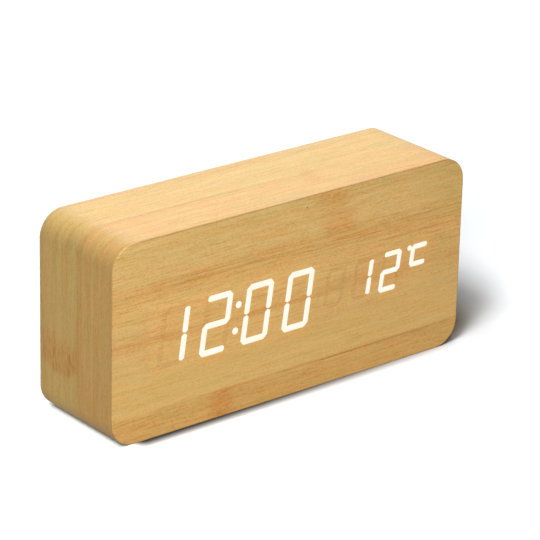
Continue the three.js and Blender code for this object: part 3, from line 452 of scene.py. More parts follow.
def stroke_outline(character, path, meets=(True, True)):
    """The outline of strokes that run into each other, with cut corners."""
    stroke = character["stroke"]
    half = stroke / 2
    reach = np.array([character["width"] - stroke, character["height"] - stroke]) / 2
    corners = np.array(path, float) * reach
    runs = np.diff(corners, axis=0)
    runs /= np.linalg.norm(runs, axis=1)[:, None]
    keep = CORNER_CUT * math.sqrt(2) - half
    left, right = [], []
    for here, before, after in zip(corners[1:-1], runs[:-1], runs[1:]):
        turn = before[0] * after[1] - before[1] * after[0]
        for sign, points in ((1, left), (-1, right)):
            first = sign * np.array([-before[1], before[0]])
            second = sign * np.array([-after[1], after[0]])
            if sign * turn > 0:
                points.append(here + half * (first + second))
            else:
                points += [here + half * first + keep * before, here + half * second - keep * after]
    ahead = stroke_end(corners[-1], -runs[-1], half, meets[1])
    behind = stroke_end(corners[0], runs[0], half, meets[0])
    points = slanted(character, right + ahead + left[::-1] + behind)
    area = sum(a[0] * b[1] - b[0] * a[1] for a, b in zip(points, points[1:] + points[:1]))
    return points if area > 0 else points[::-1]


def lit_outlines(character):
    """The lit strokes and dots of a character."""
    ends = [end for path in character["lit"] for end in (path[0], path[-1])]
    strokes = [
        stroke_outline(character, path, (ends.count(path[0]) > 1, ends.count(path[-1]) > 1))
        for path in character["lit"]
    ]
    dots = [circle(slanted(character, [(x, z)])[0], radius, 20) for x, z, radius in character["dots"]]
    return strokes + dots


def unlit_outlines(character):
    return [stroke_outline(character, STROKES[letter]) for letter in character["unlit"]]


# Shaders
def linear(*screen):
    """A colour read off a screen, as the shaders take it."""
    shares = [value / 255 for value in screen]
    return (*(s / 12.92 if s <= 0.04045 else ((s + 0.055) / 1.055) ** 2.4 for s in shares), 1.0)


def arithmetic(operation, swapped=False):
    """The method behind an operator, for a varying value on its left, or swapped, on its right."""

    def method(self, other):
        values = (other, self) if swapped else (self, other)
        return self.nodes.maths(operation, *values)

    return method


class Varying:
    """A number, colour or place that changes over a surface, to be worked on with plain arithmetic."""

    def __init__(self, nodes, socket):
        self.nodes, self.socket = nodes, socket

    __add__ = arithmetic("ADD")
    __sub__ = arithmetic("SUBTRACT")
    __rsub__ = arithmetic("SUBTRACT", swapped=True)
    __mul__ = arithmetic("MULTIPLY")
    __truediv__ = arithmetic("DIVIDE")
    __rtruediv__ = arithmetic("DIVIDE", swapped=True)
    __pow__ = arithmetic("POWER")

    def __abs__(self):
        return self.nodes.maths("ABSOLUTE", self)

    def clamped(self):
        """The result of the last step, held between nought and one."""
        self.socket.node.use_clamp = True
        return self


class Nodes:
    """Adds nodes to a tree, and gives the values that come out of them."""

    def __init__(self, tree):
        self.tree = tree

    def feed(self, node, key, value):
        """Links a varying value to a node's socket, or sets a plain number or colour on it."""
        if isinstance(value, Varying):
            self.tree.links.new(value.socket, node.inputs[key])
        else:
            node.inputs[key].default_value = value

    def put(self, kind, settings=None, **inputs):
        """Adds a node. The names of its inputs are written with low lines for spaces."""
        node = self.tree.nodes.new(kind)
        for key, value in (settings or {}).items():
            setattr(node, key, value)
        for key, value in inputs.items():
            self.feed(node, key.replace("_", " "), value)
        return node

    def value(self, output, kind, settings=None, **inputs):
        """Adds a node and gives one of its outputs."""
        return Varying(self, self.put(kind, settings, **inputs).outputs[output])

    def values(self, kind, settings=None, **inputs):
        """Adds a node and gives its outputs by name."""
        return {socket.name: Varying(self, socket) for socket in self.put(kind, settings, **inputs).outputs}

    def maths(self, operation, *values, kind="ShaderNodeMath", output=0):
        node = self.put(kind, {"operation": operation})
        for key, value in enumerate(values):
            self.feed(node, key, value)
        return Varying(self, node.outputs[output])

    def vector_maths(self, operation, *values):
        output = "Value" if operation in ("LENGTH", "DISTANCE") else "Vector"
        return self.maths(operation, *values, kind="ShaderNodeVectorMath", output=output)

    def largest(self, *values):
        return reduce(lambda a, b: self.maths("MAXIMUM", a, b), values)

    def blend(self, amount, colour, other, kind="MIX"):
        node = self.put("ShaderNodeMix", {"data_type": "RGBA", "blend_type": kind, "clamp_factor": True})
        first_colour, second_colour = 6, 7
        self.feed(node, 0, amount)
        self.feed(node, first_colour, colour)
        self.feed(node, second_colour, other)
        return Varying(self, node.outputs[2])

    def tinted(self, amount, colour, tint):
        """The colour multiplied by a tint where the amount is one."""
        return self.blend(amount, colour, tint, "MULTIPLY")

    def range(self, value, low, high, to_low=0.0, to_high=1.0):
        """A smooth step from one number to another while the value goes from low to high."""
        return self.value(0, "ShaderNodeMapRange", {"interpolation_type": "SMOOTHSTEP"}, Value=value,
                          From_Min=low, From_Max=high, To_Min=to_low, To_Max=to_high)

    def noise(self, place, scale, detail=2.0, roughness=0.5):
        return self.value("Fac", "ShaderNodeTexNoise", Vector=place, Scale=scale, Detail=detail,
                          Roughness=roughness)

    def vector(self, x, y, z):
        return self.value(0, "ShaderNodeCombineXYZ", X=x, Y=y, Z=z)

    def colour(self, red, green, blue):
        return self.value(0, "ShaderNodeCombineColor", Red=red, Green=green, Blue=blue)

    def place(self, stretch=None):
        """Where a point lies, in metres, with its axes stretched if asked."""
        place = self.value("Object", "ShaderNodeTexCoord")
        return self.value(0, "ShaderNodeMapping", Vector=place, Scale=stretch) if stretch else place

    def group(self, tree, **inputs):
        return self.values("ShaderNodeGroup", {"node_tree": tree}, **inputs)

    def group_end(self, **outputs):
        """Gives a group its outputs and hands it over."""
        for label in outputs:
            kind = "NodeSocketColor" if label == "Colour" else "NodeSocketFloat"
            self.tree.interface.new_socket(label, in_out="OUTPUT", socket_type=kind)
        self.put("NodeGroupOutput", **outputs)
        return self.tree


def new_group(name, **inputs):
    """A shader group with named inputs, and their values inside it."""
    tree = bpy.data.node_groups.new(name, "ShaderNodeTree")
    for label, default in inputs.items():
        kind = "NodeSocketFloat" if isinstance(default, float) else "NodeSocketColor"
        socket = tree.interface.new_socket(label.replace("_", " "), in_out="INPUT", socket_type=kind)
        socket.default_value = default
    nodes = Nodes(tree)
    given = nodes.values("NodeGroupInput")
    return nodes, [given[label.replace("_", " ")] for label in inputs]


# The marks of bamboo: waves per millimetre along and across the grain, and the noise's detail and roughness
WANDER_WAVES, WANDER = (0.016, 0.05, 2.0, 0.55), 3.5
FIBRE_WAVES = (0.12, 2.7, 2.0, 0.5)
PORE_WAVES = (1.0, 2.6, 1.0, 0.55)
LINE_WAVES = (0.014, 1.5, 3.0, 0.7)
BROAD_WAVES = (0.012, 0.4, 2.0, 0.55)
WARM_WAVES = (0.07, 0.3, 2.0, 0.55)
FLECK_WAVES = (0.3, 1.5, 2.0, 0.6)
# How much the fibres' tone and the warmer stretches change red, green and blue, and the lines the red alone
TONE_CHANGES, WARM_CHANGES, LINE_REDDENS = (0.55, 1.05, 2.0), (0.14, -0.06, -0.06), -0.16
NODE_TINT = (0.97, 0.78, 0.61, 1.0)


def bamboo_fibres():
    """Fine fibres, short pores, dark lines and the flecks of a node, all along the grain."""
    nodes, (along, across, seed, ground, streak, figure, node) = new_group(
        "bamboo fibres", Along=0.0, Across=0.0, Seed=0.0, Ground=(0.7, 0.4, 0.1, 1),
        Streak=(0.4, 0.2, 0.05, 1), Figure=1.0, Node=0.0)

    def waves(side, per_along, per_across, detail, roughness):
        place = nodes.vector(along * per_along, side * per_across, seed)
        return nodes.noise(place, 1.0, detail, roughness) - 0.5

    bent = across + waves(across, *WANDER_WAVES) * WANDER
    fibres, pores, lines = waves(bent, *FIBRE_WAVES), waves(bent, *PORE_WAVES), waves(bent, *LINE_WAVES)
    strong = figure**2.0
    bold_lines = lines * 1.2 * strong
    tone = (fibres + pores) * (figure * 0.55 + 0.35) * 0.95 + waves(bent, *BROAD_WAVES) * 0.25 + bold_lines
    warmth = waves(bent, *WARM_WAVES) * (strong * 1.5 + 0.8)
    red, green, blue = (tone * t + warmth * w + 1.0 for t, w in zip(TONE_CHANGES, WARM_CHANGES))
    ground = nodes.tinted(1.0, ground, nodes.colour(red + bold_lines * LINE_REDDENS, green, blue))
    ground = nodes.tinted(node, ground, NODE_TINT)
    dark_pores = nodes.range(fibres * 0.6 + pores, 0.1, 0.3) * (node * 0.2 + 0.25)
    dark_lines = nodes.range(lines, 0.08, 0.22) * strong * 0.45
    flecks = nodes.range(waves(bent, *FLECK_WAVES), 0.0, 0.12) * node * 0.62
    dark = (dark_pores + dark_lines + flecks).clamped()
    return nodes.group_end(Colour=nodes.blend(dark, ground, streak), Roughness=fibres * 0.2 + 0.42,
                           Height=fibres - dark + pores * 0.5)


def bamboo_node_patch():
    """Where a stem's node crosses a strip, a streak lies, or shade is painted over a bend: a ragged patch
    with soft ends.
    """
    nodes, (along, across, middle_along, middle_across, half_length, half_width, lean) = new_group(
        "bamboo node patch", Along=0.0, Across=0.0, Middle_along=0.0, Middle_across=0.0, Half_length=10.0,
        Half_width=8.0, Lean=0.0)
    rag = nodes.noise(nodes.vector(along * 0.1, across * 0.9, 0.0), 1.0) - 0.5
    aside = across - middle_across
    off = abs(along - middle_along - aside * lean)
    ends = nodes.range(off / half_length + rag * 1.6, 0.3, 1.1, 1.0, 0.0)
    sides = nodes.range(abs(aside) / half_width, 0.8, 1.05, 1.0, 0.0)
    return nodes.group_end(Mask=ends * sides)


def bamboo_node_flames():
    """A node low on an upright strip: a bowed foot with ragged flames that run back along the grain."""
    nodes, (along, across, foot, middle_across, half_width, length, bow) = new_group(
        "bamboo node flames", Along=0.0, Across=0.0, Foot=0.0, Middle_across=0.0, Half_width=10.0,
        Length=9.0, Bow=5.0)

    def ragged(per_across, seed):
        return nodes.noise(nodes.vector(along * 0.05, across * per_across, seed), 1.0, 2.0, 0.6)

    aside = (across - middle_across) / half_width
    rag, tongues = ragged(0.7, 4.0), ragged(1.9, 9.0)
    up = foot + rag * 4.0 - aside * aside * bow - along
    flame = nodes.range(up / (length * nodes.range(rag, 0.36, 0.62, 0.35, 1.5)), 0.2, 1.1, 1.0, 0.0)
    foot_edge = nodes.range(up, -1.6, 1.0)
    side_edge = nodes.range(abs(aside), 0.9, 1.08, 1.0, 0.0)
    mask = flame * nodes.range(tongues, 0.4, 0.58, 0.3, 1.15) * foot_edge * side_edge
    return nodes.group_end(Mask=mask.clamped())


def sheet_rim():
    """How far a point of the front veneer lies from its rounded outline, in millimetres."""
    nodes, (along, across) = new_group("sheet rim", Along=0.0, Across=0.0)
    place = nodes.vector(along, across - HEIGHT / 2, 0.0)
    arc_middle = (WIDTH / 2 - CORNER_RADIUS, HEIGHT / 2 - CORNER_RADIUS, 0)
    past = nodes.vector_maths("SUBTRACT", nodes.vector_maths("ABSOLUTE", place), arc_middle)
    outside = nodes.vector_maths("LENGTH", nodes.vector_maths("MAXIMUM", past, (0, 0, 0)))
    parts = nodes.values("ShaderNodeSeparateXYZ", Vector=past)
    within = nodes.maths("MINIMUM", nodes.largest(parts["X"], parts["Y"]), 0.0)
    return nodes.group_end(Distance=CORNER_RADIUS - outside - within)


def moulded_skin():
    """The skin of moulded plastic: a fine spark-eroded grain with faint scuffs."""
    nodes, (ground, grain_size, roughness, variation) = new_group(
        "moulded skin", Ground=(0.02, 0.02, 0.02, 1), Grain_size=0.35, Roughness=0.5, Variation=0.15)
    grain = nodes.noise(nodes.place(), 1.0 / MM / grain_size)
    cloud = nodes.noise(nodes.place(), 90.0, 3.0) - 0.5
    scuffs = nodes.range(nodes.noise(nodes.place(stretch=(1.0, 1.0, 9.0)), 160.0, 3.0, 0.7), 0.6, 0.75)
    shade = cloud * (variation * 2.0) + scuffs * variation + 1.0
    return nodes.group_end(Colour=nodes.tinted(1.0, ground, nodes.colour(shade, shade, shade)),
                           Roughness=roughness + cloud * 0.25 - scuffs * 0.08, Height=grain)


def rolled_metal():
    """Plated or rolled metal: faint lines, cloudy tarnish and uneven shine."""
    nodes, (ground, tarnish, tarnish_amount, roughness) = new_group(
        "rolled metal", Ground=(0.7, 0.7, 0.7, 1), Tarnish=(0.4, 0.36, 0.3, 1), Tarnish_amount=0.2,
        Roughness=0.3)
    lines = nodes.noise(nodes.place(stretch=(0.08, 1.0, 1.0)), 5200.0)
    clouds = nodes.range(nodes.noise(nodes.place(), 420.0, 4.0, 0.6), 0.42, 0.7) * tarnish_amount
    return nodes.group_end(Colour=nodes.blend(clouds, ground, tarnish),
                           Roughness=roughness + (lines - 0.5) * 0.18 + clouds * 0.5, Height=lines)


BAMBOO_FIBRES = bamboo_fibres()
NODE_PATCH = bamboo_node_patch()
NODE_FLAMES = bamboo_node_flames()
SHEET_RIM = sheet_rim()
MOULDED_SKIN = moulded_skin()
ROLLED_METAL = rolled_metal()


# Finishes
FINISH = {}


def new_finish(name, **settings):
    """Makes a material with a plain Principled shader, and gives its nodes and its shader."""
    finish = bpy.data.materials.new(name)
    finish.use_nodes = True
    FINISH[name] = finish
    nodes = Nodes(finish.node_tree)
    shader = finish.node_tree.nodes["Principled BSDF"]
    for key, value in settings.items():
        nodes.feed(shader, key.replace("_", " "), value)
    return nodes, shader


def surface(nodes, shader, outputs, relief, strength=1.0):
    """Feeds a colour, a roughness and a height into the shader, with the relief in millimetres."""
    nodes.feed(shader, "Base Color", outputs["Colour"])
    nodes.feed(shader, "Roughness", outputs["Roughness"])
    bumps = nodes.value("Normal", "ShaderNodeBump", Strength=strength, Distance=relief * MM,
                        Height=outputs["Height"])
    nodes.feed(shader, "Normal", bumps)


def strip_tones(nodes, across, low, high, strips):
    """The ground colour of the strips of bamboo and how strongly they are figured."""
    share = nodes.value(0, "ShaderNodeMapRange", Value=across, From_Min=low, From_Max=high)
    ramp = nodes.put("ShaderNodeValToRGB", Fac=share)
    stops = ramp.color_ramp.elements
    while len(stops) < len(strips):
        stops.new(0.5)
    for stop, (place, colour, figure) in zip(stops, strips):
        stop.position = (place - low) / (high - low)
        stop.color = (*linear(*colour)[:3], figure)
    return Varying(nodes, ramp.outputs["Color"]), Varying(nodes, ramp.outputs["Alpha"])


def grain_place(nodes):
    """Where a point lies along and across the grain, in millimetres."""
    place = nodes.value("Vector", "ShaderNodeAttribute", {"attribute_name": "grain_place"})
    parts = nodes.values("ShaderNodeSeparateXYZ", Vector=place)
    return parts["X"], parts["Y"]


def patches(nodes, along, across, places):
    """The masks of several patches, together."""
    masks = []
    for middle_along, middle_across, half_length, half_width, lean, amount in places:
        patch = nodes.group(NODE_PATCH, Along=along, Across=across, Middle_along=middle_along,
                            Middle_across=middle_across, Half_length=half_length, Half_width=half_width,
                            Lean=lean)
        masks.append(patch["Mask"] * amount)
    return nodes.largest(*masks)


def close_to(nodes, along, across, place, near, far):
    """One within the near distance of a place on the sheet, and nought beyond the far one."""
    away = nodes.vector_maths("DISTANCE", nodes.vector(along, across, 0.0), (*place, 0.0))
    return nodes.range(away, near, far, 1.0, 0.0)


STREAK, FAINT_STREAK, PALE_STREAK = linear(201, 122, 50), linear(206, 143, 74), linear(236, 190, 112)
UNLIT_STROKE, UNLIT_SHOWS = linear(170, 96, 40), 0.13
BAMBOO_RELIEF = 0.001

# Strips are (place across, colour, figure). Nodes and streaks are (middle along, middle across, half length,
# half width, lean, amount), all in millimetres
FACE_STRIPS = [
    (0, (221, 171, 95), 0.68), (9.2, (223, 173, 97), 0.68), (10.4, (231, 187, 110), 0.32),
    (22, (231, 186, 109), 0.32), (24, (229, 184, 110), 0.4), (31, (229, 184, 110), 0.5),
    (34, (225, 176, 101), 0.65), (38, (229, 182, 108), 0.6), (46, (232, 184, 108), 0.7),
    (50, (229, 179, 102), 0.79), (54, (228, 179, 103), 0.79), (56.5, (231, 187, 112), 0.6),
    (63, (230, 187, 112), 0.63), (70, (228, 185, 110), 0.7),
]
FACE_NODES = [(17, 62.5, 9, 9.5, -0.35, 0.55), (-30, 4.0, 6, 6, 0.0, 0.75)]
FACE_STREAKS = [
    (-32, 52, 44, 0.5, 0.0, 0.4), (-20, 53.6, 60, 0.3, 0.0, 0.4), (35, 9.3, 42, 0.4, 0.0, 0.7),
    (-62, 35.5, 26, 0.7, 0.0, 0.4), (-25, 9.6, 24, 0.35, 0.0, 0.4), (20, 50.4, 40, 0.35, 0.0, 0.35),
    (48, 52.5, 26, 0.4, 0.0, 0.45), (55, 46.6, 20, 0.4, 0.0, 0.4),
]
GLOW_TINT = (1.1, 1.035, 0.98, 1.0)
# Painted shade along the front veneer's rim, where it meets the band: its tint, and the width in millimetres
# over which it fades out. It begins only to the right of the left end, where the edge catches the light
RIM_SHADE_TINT, RIM_SHADE_WIDTH = (0.62, 0.52, 0.34, 1.0), (0.1, 0.42)
RIM_SHADE_STARTS = (-72, -62)
# Painted shade on the front veneer, deepest at its upper right corner: the corner, the tint, and the near
# and far reach in millimetres
SHADY_CORNER, CORNER_SHADE_TINT, CORNER_SHADE_REACH = (WIDTH / 2, HEIGHT), (0.91, 0.92, 0.82, 1.0), (4, 30)
SPECKS, SPECK = [((4.7, 66.2), 0.28), ((62.2, 29.3), 0.2)], linear(96, 66, 34)


def bamboo_face(name, dimmed):
    """The front veneer: strips laid level, with two nodes, and warmer where the display glows through."""
    nodes, shader = new_finish(name, Specular_IOR_Level=0.5)
    along, across = grain_place(nodes)
    tone, figure = strip_tones(nodes, across, 0, HEIGHT, FACE_STRIPS)
    glow = nodes.value("Fac", "ShaderNodeAttribute", {"attribute_name": "glow"})
    tone = nodes.tinted(glow, tone, GLOW_TINT)
    tone = nodes.blend(patches(nodes, along, across, FACE_STREAKS), tone, FAINT_STREAK)
    tone = nodes.blend(dimmed, tone, UNLIT_STROKE)
    # Painted shade, darkening the front towards its upper right corner
    shady = close_to(nodes, along, across, SHADY_CORNER, *CORNER_SHADE_REACH)
    tone = nodes.tinted(shady, tone, CORNER_SHADE_TINT)
    # Painted shade along the rim of the front veneer, kept off its left side
    rim = nodes.range(nodes.group(SHEET_RIM, Along=along, Across=across)["Distance"], *RIM_SHADE_WIDTH, 1.0, 0.0)
    tone = nodes.tinted(rim * nodes.range(along, *RIM_SHADE_STARTS), tone, RIM_SHADE_TINT)
    for middle, radius in SPECKS:
        tone = nodes.blend(close_to(nodes, along, across, middle, radius * 0.6, radius), tone, SPECK)
    fibres = nodes.group(BAMBOO_FIBRES, Along=along, Across=across, Seed=3.7, Ground=tone, Streak=STREAK,
                         Figure=figure, Node=patches(nodes, along, across, FACE_NODES))
    surface(nodes, shader, fibres, BAMBOO_RELIEF)


BAND_STRIPS = [
    (-20, (223, 174, 97), 0.5), (-9, (225, 178, 100), 0.45), (-5, (227, 179, 101), 0.45),
    (-1.6, (224, 176, 98), 0.55), (-0.4, (226, 184, 104), 0.45), (12, (228, 187, 106), 0.4),
    (18, (226, 184, 106), 0.45), (20, (216, 182, 110), 0.45),
]
BAND_NODES = [(285, 10, 7, 10.5, 0.0, 0.45), (149, -5, 3.5, 6, -0.35, 0.4), (60, -8, 8, 9, 0.0, 0.9),
              (296, -11, 16, 9, 0.0, 0.16)]
BAND_FLAMES = {"Foot": 289.5, "Middle_across": 9.3, "Half_width": 10.2, "Length": 12.0, "Bow": 4.5}
BAND_STREAKS = [
    (205, -1.3, 36, 0.3, 0.0, 0.45), (128, -2.8, 32, 0.28, 0.0, 0.35), (178, -3.6, 60, 0.2, 0.0, 0.3),
    (159, 9.8, 14, 0.3, 0.0, 0.35), (158, -15.6, 8, 0.5, 0.0, 0.4), (130, 15.6, 15, 0.25, 0.0, 0.3),
    (275, -1.2, 34, 0.3, 0.0, 0.35),
]
BAND_PALE = [(275, -8.8, 34, 0.4, 0.0, 0.8)]
# Painted shade over the band's rounded upper corners, where it turns from the top to the sides
BEND_SHADES = [(239, 0, 10, 30, 0.0, 0.6), (94, 0, 10, 30, 0.0, 0.6), (242, 1.5, 5.5, 5, 0.0, 1.0)]
BEND_SHADE_TINT = (0.8, 0.81, 0.8, 1.0)
# The figure is bolder on the top than on the side: by how much on each, and where it changes
BAND_FIGURE, BAND_FIGURE_CHANGES = (1.75, 0.85), (225, 250)


def bamboo_band():
    """The veneer round the edge: two strips side by side whose grain runs round the case."""
    nodes, shader = new_finish("bamboo_band", Specular_IOR_Level=0.5)
    along, across = grain_place(nodes)
    tone, figure = strip_tones(nodes, across, FRONT, BACK, BAND_STRIPS)
    tone = nodes.blend(patches(nodes, along, across, BAND_STREAKS), tone, FAINT_STREAK)
    tone = nodes.blend(patches(nodes, along, across, BAND_PALE), tone, PALE_STREAK)
    # Painted shade on the band's upper bends
    tone = nodes.tinted(patches(nodes, along, across, BEND_SHADES), tone, BEND_SHADE_TINT)
    figure = figure * nodes.range(along, *BAND_FIGURE_CHANGES, *BAND_FIGURE)
    flames = nodes.group(NODE_FLAMES, Along=along, Across=across, **BAND_FLAMES)["Mask"]
    marks = nodes.largest(flames, patches(nodes, along, across, BAND_NODES))
    fibres = nodes.group(BAMBOO_FIBRES, Along=along, Across=across, Seed=11.3, Ground=tone, Streak=STREAK,
                         Figure=figure, Node=marks)
    surface(nodes, shader, fibres, BAMBOO_RELIEF)


def fibreboard():
    """Pressed fibre: short pale and dark fibres in every direction."""
    nodes, shader = new_finish("fibreboard", Specular_IOR_Level=0.2)
    fine = nodes.noise(nodes.place(stretch=(1.0, 0.35, 1.0)), 2600.0, 3.0, 0.7)
    coarse = nodes.range(nodes.noise(nodes.place(), 700.0, 3.0, 0.6), 0.5, 0.75) * 0.5
    tone = nodes.blend(nodes.range(fine, 0.3, 0.7), linear(138, 104, 66), linear(186, 150, 104))
    tone = nodes.blend(coarse, tone, linear(110, 78, 46))
    surface(nodes, shader, {"Colour": tone, "Roughness": fine * 0.15 + 0.78, "Height": fine}, 0.08, 0.6)


def plastic(name, colour, roughness, grain=0.35, relief=0.02, variation=0.15, **settings):
    """Moulded plastic. The size of its grain and its relief are in millimetres."""
    nodes, shader = new_finish(name, **settings)
    skin = nodes.group(MOULDED_SKIN, Ground=linear(*colour), Grain_size=grain, Roughness=roughness,
                       Variation=variation)
    surface(nodes, shader, skin, relief)


def metal(name, colour, tarnish, amount, roughness):
    nodes, shader = new_finish(name, Metallic=1.0)
    rolled = nodes.group(ROLLED_METAL, Ground=linear(*colour), Tarnish=linear(*tarnish),
                         Tarnish_amount=amount, Roughness=roughness)
    surface(nodes, shader, rolled, 0.006)


def lit_guide():
    """Milky plastic lit from behind: warm white with faint clouds."""
    nodes, shader = new_finish("lit_guide", Emission_Strength=0.93, Roughness=0.5, Specular_IOR_Level=0.2)
    clouds = nodes.range(nodes.noise(nodes.place(), 300.0), 0.35, 0.65)
    tone = nodes.blend(clouds, linear(254, 250, 229), linear(254, 253, 242))
    unlit = (0.09, 0.09, 0.085, 1)
    nodes.feed(shader, "Base Color", nodes.tinted(1.0, tone, unlit))
    nodes.feed(shader, "Emission Color", tone)


def circuit_board():
    """Green solder mask with copper tracks under it."""
    nodes, shader = new_finish("circuit_board", Coat_Weight=0.4, Coat_Roughness=0.2)
    cells = nodes.value("Distance", "ShaderNodeTexVoronoi", {"distance": "CHEBYCHEV"}, Vector=nodes.place(),
                        Scale=420.0)
    tracks = nodes.range(nodes.maths("PINGPONG", cells, 0.12), 0.03, 0.06)
    weave = nodes.noise(nodes.place(), 3000.0, 1.0)
    mask = nodes.blend(weave * 0.5, linear(18, 78, 44), linear(26, 92, 54))
    tone = nodes.blend(tracks, linear(40, 118, 66), mask)
    surface(nodes, shader, {"Colour": tone, "Roughness": weave * 0.15 + 0.35, "Height": tracks}, 0.03, 0.4)


def ribbon_finish():
    """Grey flat cable: a row of insulated cores along its length."""
    nodes, shader = new_finish("ribbon_grey")
    core_pitch = 1.27 * MM
    height = nodes.values("ShaderNodeSeparateXYZ", Vector=nodes.place())["Z"]
    cores = nodes.maths("PINGPONG", height / core_pitch, 0.5)
    dust = nodes.noise(nodes.place(), 500.0, 3.0)
    tone = nodes.blend(nodes.range(cores, 0.0, 0.2), linear(92, 94, 98), linear(158, 160, 163))
    tone = nodes.blend(dust * 0.25, tone, linear(124, 124, 124))
    surface(nodes, shader, {"Colour": tone, "Roughness": dust * 0.2 + 0.45, "Height": cores}, 0.25)


bamboo_face("bamboo_face", 0.0)
bamboo_face("bamboo_face_unlit", UNLIT_SHOWS)
bamboo_band()
fibreboard()
plastic("black_plastic", (34, 34, 36), 0.52, 0.5, 0.03, 0.12)
plastic("button_plastic", (48, 48, 51), 0.42, 0.6, 0.01, 0.1)
plastic("reflector_plastic", (22, 22, 24), 0.6)
lit_guide()
plastic("unlit_guide", (196, 190, 176), 0.5, 0.8, 0.01, 0.05)
circuit_board()
metal("steel", (196, 198, 202), (120, 108, 90), 0.15, 0.32)
metal("black_steel", (44, 44, 46), (92, 84, 74), 0.25, 0.38)
metal("nickel", (206, 203, 194), (150, 138, 112), 0.25, 0.26)
plastic("chip_body", (28, 28, 30), 0.62, 0.25, 0.02)
plastic("header_plastic", (226, 220, 204), 0.48)
ribbon_finish()
plastic("capacitor_sleeve", (38, 50, 78), 0.4, 0.9, 0.01)
plastic("thermistor_glass", (120, 46, 30), 0.25, 0.9, 0.01, Coat_Weight=0.6)
plastic("cell_jacket", (36, 84, 134), 0.34, 1.2, 0.01, 0.06, Coat_Weight=0.5)
plastic("cell_band", (214, 216, 220), 0.34, 1.2, 0.01, 0.06, Coat_Weight=0.5)
plastic("red_lead", (176, 34, 28), 0.45, 0.6, 0.02)
plastic("black_lead", (24, 24, 24), 0.45, 0.6, 0.02)


# Case
GLOW_REACH = 2.6
# Where the whole display glows faintly: left, right, low and high, and how much
GLOW_FIELDS = [((-60.5, 9.0, 22.0, 47.0), 0.65), ((11.5, 61.5, 25.0, 45.5), 0.4)]
# Points inside the front sheet that carry the glow, and how far they stay from the strokes
GLOW_GRID_X, GLOW_GRID_Z, GLOW_GRID_CLEAR = np.arange(-66, 66.5, 1.1), np.arange(19.5, 49, 1.1), 0.25


def make_bamboo_front():
    lit = [outline for character in CHARACTERS.values() for outline in lit_outlines(character)]
    unlit = [outline for character in CHARACTERS.values() for outline in unlit_outlines(character)]
    grid = np.stack(np.meshgrid(GLOW_GRID_X, GLOW_GRID_Z), -1).reshape(-1, 2)
    clear = np.ones(len(grid), bool)
    for outline in [*lit, *unlit]:
        clear &= ~inside(grid, outline) & (distance_to(grid, outline) > GLOW_GRID_CLEAR)
    body = slab([case_outline(0), *lit], FRONT, FRONT + VENEER, FRONT_EDGE, 0, grid[clear], unlit)
    made = finished(blender_object("bamboo_front", body), ["bamboo_face", "bamboo_face_unlit"],
                    replaces="front_veneer")
    points = mesh_points(made)
    keep_on_points(made, "grain_place", points[:, [0, 2, 1]])
    x, z = points[:, 0], points[:, 2]
    far = np.min([distance_to(points[:, [0, 2]], outline) for outline in lit], axis=0)
    glow = np.exp(-((far / GLOW_REACH) ** 2))
    for (left, right, low, high), amount in GLOW_FIELDS:
        depth = np.minimum.reduce([x - left, right - x, z - low, high - z])
        glow = np.maximum(glow, amount * np.clip(depth / 2 + 0.5, 0, 1))
    keep_on_points(made, "glow", glow)


def run_round(points):
    """How far round the case each point lies from the seam, following the outside of the band."""
    half_top, half_side = WIDTH / 2 - CORNER_RADIUS, HEIGHT / 2 - CORNER_RADIUS
    quarter, top, side = math.pi / 2 * CORNER_RADIUS, 2 * half_top, 2 * half_side
    x, z = points[:, 0], points[:, 2] - HEIGHT / 2
    over_x, over_z = np.abs(x) - half_top, np.abs(z) - half_side
    angle = np.arctan2(np.maximum(over_z, 0), np.maximum(over_x, SAME_POINT)) * CORNER_RADIUS
    start = half_top - SEAM_X
    right_end = start + quarter + side
    top_end = right_end + quarter + top
    left_end = top_end + quarter + side
    under = np.where(x > SEAM_X, x - SEAM_X, left_end + quarter + x + half_top)
    corner, at_side = (over_x > 0) & (over_z > 0), over_x > 0
    return np.select(
        [corner & (x > 0) & (z > 0), corner & (x < 0) & (z > 0), corner & (x < 0), corner,
         at_side & (x > 0), at_side, z > 0],
        [right_end + angle, top_end + quarter - angle, left_end + angle, start + quarter - angle,
         start + quarter + half_side + z, top_end + quarter + half_side - z,
         right_end + quarter + half_top - x],
        under,
    )


def sleeve(inset):
    """The band's outline from one side of the seam to the other."""
    loop = case_outline(inset)
    bottom = loop[0][1]
    ends = [(SEAM_X + side * SEAM_GAP / 2, bottom) for side in (1, -1)]
    return spaced([ends[0], *loop, ends[1]], step=6.0)


def make_bamboo_band():
    outer, inner, eased = sleeve(0), sleeve(VENEER), sleeve(BAND_EDGE)
    bend = 0.3 * BAND_EDGE
    sections = [
        (inner, BAND_FRONT), (outer, BAND_FRONT), (outer, BACK - BAND_EDGE), (sleeve(bend), BACK - bend),
        (eased, BACK), (inner, BACK),
    ]
    made = finished(blender_object("bamboo_band", loft(sections, closed=False)), ["bamboo_band"],
                    replaces="band_veneer")
    points = mesh_points(made)
    keep_on_points(made, "grain_place", np.stack([run_round(points), points[:, 1], points[:, 0]], 1))


def make_fibreboard_ring():
    outer, rebate = case_outline(RING_INSET), case_outline(REBATE_INSET)
    opening = case_outline(OPENING_INSET, OPENING_RADIUS)
    sections = [
        (outer, WOOD_FRONT), (outer, BACK - RING_EDGE), (case_outline(RING_INSET + RING_EDGE), BACK),
        (case_outline(REBATE_INSET - RING_EDGE), BACK), (rebate, BACK - RING_EDGE), (rebate, BACK_REBATE),
        (opening, BACK_REBATE), (opening, FRONT_REBATE), (rebate, FRONT_REBATE), (rebate, WOOD_FRONT),
    ]
    finished(blender_object("fibreboard_ring", loft(sections)), ["fibreboard"], replaces="case_ring")


LIT_PROUD = 0.02
GUIDE_FRONT, GUIDE_BACK, GUIDE_MARGIN = -15.05, -14.05, 0.2


